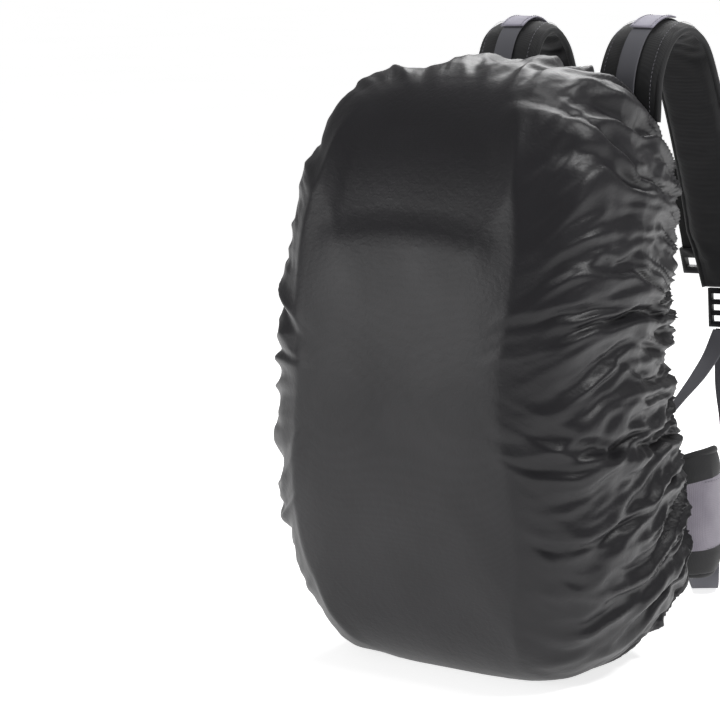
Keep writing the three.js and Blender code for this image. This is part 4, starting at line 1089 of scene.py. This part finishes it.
def make_fin(name, side):
    t = np.linspace(0, 1, FIN_COUNT)
    rough = np.array([[side * at[0], at[1], (low + high) / 2] for at, low, high, _ in FIN_STATIONS])
    sizes = np.array([[high - low, thick, 0] for _, low, high, thick in FIN_STATIONS], float)
    spine = catmull(rough, t)
    size = catmull(sizes, t)
    ahead = tangents(spine)
    ahead[:, 2] = 0
    ahead = unit(ahead)
    up = np.array([0.0, 0, 1])
    out = unit(np.cross(np.broadcast_to(up, ahead.shape), ahead)) * -side
    u = 0.5 * np.cos(np.linspace(math.pi, 0, FIN_ACROSS))
    face = np.sqrt(np.maximum(1 - np.abs(2 * u) ** 4.5, 0))
    seam = np.exp(-((np.abs(u) - 0.27) / 0.018) ** 2)
    outer = (0.1 + 0.40 * face[None]) * size[:, 1:2] + 1.6 * (1 - (2 * u) ** 2) - 1.5 * seam
    inner = -(0.1 + 0.40 * face[None]) * size[:, 1:2] - 1.2 * (1 - (2 * u) ** 2)
    outer = outer + 0.7 * waves(t[:, None] * 9, u[None] * 5 + 9, 91 + side)
    points = []
    for level, lift in ((u, outer), (u[::-1], inner[:, ::-1])):
        points.append(spine[:, None] + up * (level[None] * size[:, :1])[..., None]
                      + out[:, None] * lift[..., None])
    points = np.concatenate(points, axis=1)
    count = points.shape[1]
    points[..., 1] = np.maximum(points[..., 1], back_y(points[..., 2]) + 0.4)
    faces = grid_faces(FIN_COUNT, count, wrap=True)
    faces += [tuple(range(count)), tuple(range((FIN_COUNT - 1) * count, FIN_COUNT * count))[::-1]]
    piece = build(f"hip_pad_{name}", points.reshape(-1, 3), faces,
                  ["nylon_pack_cloth", "light_oxford"], slot="pack_cloth",
                  replaces=(f"hip_fin_{name}",))
    outward(piece)
    for polygon in piece.data.polygons:
        row, column = divmod(min(polygon.vertices), count)
        if len(polygon.vertices) == 4 and 8 <= column < 18 and 14 < row < 74:
            polygon.material_index = 1
    simulate(piece, 3.0, 3.0, bending=0.5)
    co = mesh_co(piece.data)
    co[:, 1] = np.maximum(co[:, 1], (back_y(co[:, 2] / MM) + 0.4) * MM)
    set_co(piece.data, co)
    for word, edge in (("top", 1), ("bottom", -1)):
        route = spine + up * (edge * (size[:, :1] / 2 - 1.5))
        route[:, 1] = np.maximum(route[:, 1], back_y(route[:, 2]) + 3.5)
        sweep(f"hip_binding_{word}_{name}", route[3:], [0, 0, 1], round_section(4.6, 12, 0.9),
              "nylon_pack_cloth", slot="pack_cloth")
    lines = []
    for edge in (-1, 1):
        seam = spine + up * (edge * 0.27 * size[:, :1]) + out * (size[:, 1:2] / 2 + 1.4)
        lines.append((seam[12:76], out[12:76]))
    stitches(f"hip_stitches_{name}", lines, "thread", slot="grey_webbing")


def catmull(points, t):
    """Points at shares of a smooth curve whose knots are evenly spaced in share."""
    fine = spline_by_knot(points)
    at = t * (len(fine) - 1)
    return np.stack([np.interp(at, range(len(fine)), fine[:, i]) for i in range(3)], axis=1)


def spline_by_knot(points):
    p = np.asarray(points, float)
    ring = np.vstack([2 * p[0] - p[1], p, 2 * p[-1] - p[-2]])
    t = np.linspace(0, 1, 17)[:-1, None]
    fine = [b + (c - a) / 2 * t + (a - 2.5 * b + 2 * c - d / 2) * t**2
            + (1.5 * (b - c) + (d - a) / 2) * t**3
            for a, b, c, d in zip(ring, ring[1:], ring[2:], ring[3:])]
    return np.vstack([*fine, p[-1:]])


POCKET_TURN = math.atan2(305 - 234, 90 - 150)
POCKET_AT = np.array([150.0, 234.0, 0]) * 0.58 + np.array([90.0, 305.0, 0]) * 0.42
FIN_FACE = 16 / 2 + 2.2


def pocket_place(points):
    """From the pocket's own X towards the buckle, -Y outwards and Z up to the rucksack's frame."""
    c, s = math.cos(POCKET_TURN), math.sin(POCKET_TURN)
    p = np.asarray(points, float)
    return np.stack([c * p[..., 0] - s * p[..., 1], s * p[..., 0] + c * p[..., 1], p[..., 2]],
                    axis=-1) + POCKET_AT


def make_pocket():
    across, up = 56, 44
    x = np.linspace(-48, 48, across)[None]
    v = np.linspace(0, 1, up)[:, None]
    share = np.interp(x, [-48, -38, 0, 34, 48], [0.35, 0.8, 1, 0.8, 0.3])
    trim = 8 * (1 - share)
    z = (81 + trim) + v * (74 - 2 * trim)
    x = np.broadcast_to(x, z.shape)
    margin = np.minimum(np.minimum(x + 48, 48 - x), np.minimum(z - 81 - trim, 155 - trim - z))
    dome = np.sqrt(1 - (1 - np.clip(margin / 9, 0, 1)) ** 2)
    lift = 7.6 * share * dome + 0.7 * waves(x / 22 + 5, z / 17, 95) * dome
    lift = lift - 1.2 * np.exp(-((z - 104 + 0.16 * x) / 1.8) ** 2) * dome
    lift = lift - 0.9 * np.exp(-((margin - 5) / 1.3) ** 2)
    front = pocket_place(np.stack([x, -FIN_FACE - 0.3 - lift, z], axis=-1))
    rear = pocket_place(np.stack([x, np.full(x.shape, -FIN_FACE), z], axis=-1))
    faces = two_sided_faces(up, across)
    piece = build("pocket_bag", np.concatenate([front.reshape(-1, 3), rear.reshape(-1, 3)]), faces,
                  "light_oxford", slot="grey_cloth", replaces=("hip_pocket",))
    outward(piece)
    count = 250
    x = np.linspace(-46, 46, count)
    for word, level in (("upper", 169.6), ("lower", 166.4)):
        route = pocket_place(np.stack([x, np.full(count, -FIN_FACE - 1.6), np.full(count, level)],
                                      axis=-1))
        ripple = 1 + 0.35 * np.sin(x * 2 * math.pi / 1.9)
        sweep(f"zip_coil_{word}", route, [0, 0, 1], round_section(1.25, 8)[None] * ripple[:, None, None],
              "moulded_acetal", slot="black_webbing")
    low, high = (np.array(v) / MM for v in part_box("zip_pull"))
    middle = (low + high) / 2
    out = unit(pocket_place([0, -1, 0]) - pocket_place([0, 0, 0]))
    ahead = unit(pocket_place([1, 0, 0]) - pocket_place([0, 0, 0]))
    top = middle + np.array([0, 0, (high - low)[2] / 2 - 2.2])
    line = [top - ahead * 0.2, top + ahead * 2.4 - [0, 0, 6], top + ahead * 2.2 - [0, 0, 15],
            top + ahead * 1.0 - [0, 0, 22], top - ahead * 1.0 - [0, 0, 22],
            top - ahead * 2.2 - [0, 0, 15], top - ahead * 2.4 - [0, 0, 6], top + ahead * 0.2]
    sweep("pull_cord", spline(line, 70), out, round_section(1.05, 8), "braided_elastic",
          slot="black_webbing", body="zip_pull", replaces=("zip_pull",))
    grip = spline([top - [0, 0, 15], top - [0, 0, 20], top - [0, 0, 26.5]], 20)
    fat = np.sin(np.linspace(0.25, math.pi - 0.2, 20)) ** 0.5
    sweep("pull_grip", grip, ahead, round_section(3.4, 14, 0.55)[None] * fat[:, None, None],
          "moulded_acetal", slot="moulded_plastic", body="zip_pull")


def make_belt():
    tip = FIN_STATIONS[-1][0]
    for name, side, end in (("right", 1, 40.4), ("left", -1, 34.4)):
        line = [[side * (tip[0] - 2), tip[1] + 3, BELT_LEVEL],
                [side * (tip[0] - 12), tip[1] + 9, BELT_LEVEL], [side * end, BUCKLE_Y, BELT_LEVEL]]
        piece = webbing(f"belt_{name}", line, [0, 0, 1], 38, 1.8, "grey_webbing", 37, 0.2,
                        slot="grey_webbing", replaces=(f"belt_webbing_{name}",),
                        body=None if side < 0 else "root")
        if side < 0:
            tuple(v * MM for v in line[0])
            tuple(v * MM for v in line[-1])
            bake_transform(piece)
    out, lying = BUCKLE_Y + 10, 2.3
    line = [[34, out, 130], [46, out + 3, 126], [62, out + 8, 94], [68, out + 16, 60],
            [62, out + 28, 24], [52, out + 44, 6], [38, out + 64, 2.6], [4, out + 112, lying]]
    piece = webbing("belt_tail_twisted", line, turned([0, 0, 1], [0.6, 0, 1], [0.3, 1, 0.2], [1, 0.5, 0],
                                              [1, 0.7, 0], [1, 0.7, 0], [1, 0.7, 0]), 32, 1.8,
            "grey_webbing", 41, 0.3, doubled=(0, 22), slot="grey_webbing",
            replaces=("belt_tail_right",))
    free_cord(line)
    line = [[-30, out + 2, 130], [-42, out + 8, 124], [-54, out + 18, 86], [-60, out + 26, 44],
            [-64, out + 36, 14], [-67, out + 50, 4.2], [-72, out + 74, lying]]
    webbing("belt_tail_broad", line, turned([0, 0, 1], [0.7, 0, 0.6], [1, 0.1, 0], [1, 0, 0],
                                            [1, 0, 0]), 38, 1.8, "grey_webbing", 43, 0.3,
            doubled=(0, 22), slot="grey_webbing", replaces=("belt_tail_left",), body="buckle_male")


# ---- Fittings ----------------------------------------------------------------------------------------

FITTINGS = (
    "cord_lock_body", "cord_lock_button", "torso_buckle", "sternum_slider_right",
    "sternum_slider_left", "sternum_buckle_female", "sternum_buckle_male", "ladder_lock_right",
    "ladder_lock_left", "buckle_female", "buckle_male", "buckle_prong_upper",
    "buckle_prong_lower", "zip_slider",
)
KEPT = {
    "frame_sheet": "extruded_polyethylene",
    "frame_stay_right": "extruded_aluminium", "frame_stay_left": "extruded_aluminium",
    "pocket_zip": "black_webbing",
}


def rounded_copy(node, look, round_edges=True):
    """A copy of a moulded fitting with its edges rounded as the mould leaves them."""
    source = frame["nodes"][node]
    mesh = source.data.copy()
    piece = bpy.data.objects.new(f"{node}_moulded", mesh)
    bpy.context.collection.objects.link(piece)
    mesh.materials.clear()
    mesh.materials.append(material(look))
    work = bmesh.new()
    work.from_mesh(mesh)
    bmesh.ops.remove_doubles(work, verts=work.verts, dist=2e-5)
    bmesh.ops.dissolve_limit(work, angle_limit=math.radians(1), verts=work.verts, edges=work.edges)
    work.to_mesh(mesh)
    work.free()
    if round_edges:
        apply(piece, "BEVEL", width=0.0007, segments=2, limit_method="ANGLE",
              angle_limit=math.radians(30))
    for other in bpy.context.selected_objects:
        other.select_set(False)
    piece.select_set(True)
    bpy.context.view_layer.objects.active = piece
    bpy.ops.object.shade_smooth_by_angle(angle=math.radians(40))
    return piece


def make_fittings():
    bodies = {}
    for body, nodes in frame["record"]["behaviour"]["bodies"].items():
        for node in nodes:
            bodies[node] = body
    for node in FITTINGS:
        metal = node == "zip_slider"
        piece = rounded_copy(node, "plated_zinc" if metal else "moulded_acetal")
        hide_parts(node)
        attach(piece, bodies[node])
    for node, look in KEPT.items():
        for slot in frame["nodes"][node].material_slots:
            slot.material = material(look)
    spring = rounded_copy("cord_lock_spring", "drawn_spring_steel", round_edges=False)
    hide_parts("cord_lock_spring")
    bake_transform(spring)


# ---- Settings, operators and panel -------------------------------------------------------------


class StudioSettings(bpy.types.PropertyGroup):
    azimuth: bpy.props.FloatProperty(
        name="Azimuth", default=35.0,
        description="Camera's turn round the rucksack, in degrees",
    )
    elevation: bpy.props.FloatProperty(
        name="Elevation", default=9.0,
        description="Camera's height above the horizon, in degrees",
    )
    distance: bpy.props.FloatProperty(
        name="Distance", default=2.9, unit="LENGTH",
        description="Camera's distance from the rucksack",
    )
    lens: bpy.props.FloatProperty(
        name="Lens", default=132.5,
        description="Focal length in millimetres",
    )


class RainCover(bpy.types.Operator):
    """Adds the gathered rain cover"""

    bl_idname = "rucksack.rain_cover"
    bl_label = "Rain cover"

    def execute(self, context):
        make_cover()
        return {"FINISHED"}


class HemAndPack(bpy.types.Operator):
    """Adds the gathered hem and the pack inside the cover"""

    bl_idname = "rucksack.hem_and_pack"
    bl_label = "Hem and pack"

    def execute(self, context):
        make_hem()
        make_pack_body()
        return {"FINISHED"}


class BackSystem(bpy.types.Operator):
    """Adds the back panel, yoke, crescent pads, lumbar cushion and piping"""

    bl_idname = "rucksack.back_system"
    bl_label = "Back system"

    def execute(self, context):
        make_back()
        return {"FINISHED"}


class ShoulderHarness(bpy.types.Operator):
    """Adds the shoulder straps with their webbing, the sternum strap and the loops"""

    bl_idname = "rucksack.shoulder_harness"
    bl_label = "Shoulder harness"

    def execute(self, context):
        for name, side in SIDES.items():
            make_shoulder_strap(name)
            make_sternum(name, side)
            make_lower_webbing(name, side)
        make_loops()
        return {"FINISHED"}


class HipBelt(bpy.types.Operator):
    """Adds the hip pads, the pocket with its zip, and the belt webbing"""

    bl_idname = "rucksack.hip_belt"
    bl_label = "Hip belt"

    def execute(self, context):
        for name, side in SIDES.items():
            make_fin(name, side)
        make_pocket()
        make_belt()
        return {"FINISHED"}


class Fittings(bpy.types.Operator):
    """Adds the moulded and metal fittings"""

    bl_idname = "rucksack.fittings"
    bl_label = "Fittings"

    def execute(self, context):
        make_fittings()
        return {"FINISHED"}


AIM = Vector((0.0, 0.0, 0.335))


class Studio(bpy.types.Operator):
    """Adds the floor, the lights and the camera"""

    bl_idname = "rucksack.studio"
    bl_label = "Studio"

    def execute(self, context):
        how = context.scene.rucksack_studio
        scene = context.scene
        scene.view_settings.view_transform = "Standard"
        a, e = math.radians(how.azimuth), math.radians(how.elevation)
        back = Vector((math.sin(a) * math.cos(e), -math.cos(a) * math.cos(e), math.sin(e)))
        camera = bpy.data.cameras.new("camera")
        camera.lens = how.lens
        camera.shift_x, camera.shift_y = CAMERA_SHIFT
        holder = bpy.data.objects.new("camera", camera)
        holder.location = AIM + back * how.distance
        holder.rotation_mode = "QUATERNION"
        holder.rotation_quaternion = (-back).to_track_quat("-Z", "Y")
        scene.collection.objects.link(holder)
        scene.camera = holder
        world = bpy.data.worlds.new("studio")
        world.use_nodes = True
        tree = world.node_tree
        tree.nodes.clear()
        path = add(tree, "ShaderNodeLightPath")
        seen = add(tree, "ShaderNodeMapRange", {"To Min": SKY_LIT, "To Max": SKY_SEEN}, {"Value": path})
        sky = add(tree, "ShaderNodeBackground", {"Color": (1, 1, 1, 1)}, {"Strength": seen})
        add(tree, "ShaderNodeOutputWorld", {}, {"Surface": sky})
        scene.world = world
        far = FLOOR_HALF
        points = [[-far, -far, 0], [far, -far, 0], [far, far, 0], [-far, far, 0]]
        floor = build("floor", points, [(0, 1, 2, 3)], "white_paper", body=None)
        for name, azimuth, lift, far, size, power in LAMPS:
            lamp = bpy.data.lights.new(name, "AREA")
            lamp.energy, lamp.size = power, size
            light = bpy.data.objects.new(name, lamp)
            t, u = math.radians(azimuth), math.radians(lift)
            way = Vector((math.sin(t) * math.cos(u), -math.cos(t) * math.cos(u), math.sin(u)))
            light.location = AIM + way * far
            light.rotation_mode = "QUATERNION"
            light.rotation_quaternion = (-way).to_track_quat("-Z", "Y")
            scene.collection.objects.link(light)
        return {"FINISHED"}


# Matt paper roll, white, with light of its own so that it stays white under soft lamps.
finish("white_paper", colour="F4F4F4", shade="F0F0F0", rough=0.9, grain=2.0, depth=0.01,
       cloud=400, coordinate="Object", glow=0.76, gloss=0.0)
FLOOR_HALF = 90000
# The sky's strength as a light on the rucksack, and as the camera sees it.
SKY_LIT, SKY_SEEN = 0.27, 1.1
CAMERA_SHIFT = (-0.179, 0.003)
# Each lamp's name, turn, height in degrees, distance, size and power.
LAMPS = (
    ("key", -34, 10, 2.6, 1.0, 15), ("side", 100, 48, 2.2, 0.4, 20),
    ("rear", 200, 45, 2.6, 1.4, 40), ("top", 10, 84, 2.4, 0.8, 15),
)


class RucksackPanel(bpy.types.Panel):
    """Lists the rucksack's pieces"""

    bl_idname = "VIEW3D_PT_rucksack"
    bl_label = "Rucksack"
    bl_space_type = "VIEW_3D"
    bl_region_type = "UI"
    bl_category = "Rucksack"

    def draw(self, context):
        for each in OPERATORS:
            self.layout.operator(each.bl_idname)


OPERATORS = [RainCover, HemAndPack, BackSystem, ShoulderHarness, HipBelt, Fittings, Studio]
CLASSES = [StudioSettings, *OPERATORS, RucksackPanel]


def register():
    for each in CLASSES:
        bpy.utils.register_class(each)
    bpy.types.Scene.rucksack_studio = bpy.props.PointerProperty(type=StudioSettings)


def unregister():
    del bpy.types.Scene.rucksack_studio
    for each in reversed(CLASSES):
        bpy.utils.unregister_class(each)


def main():
    register()
    for each in OPERATORS:
        group, name = each.bl_idname.split(".")
        getattr(getattr(bpy.ops, group), name)()


if __name__ == "__main__":
    main()
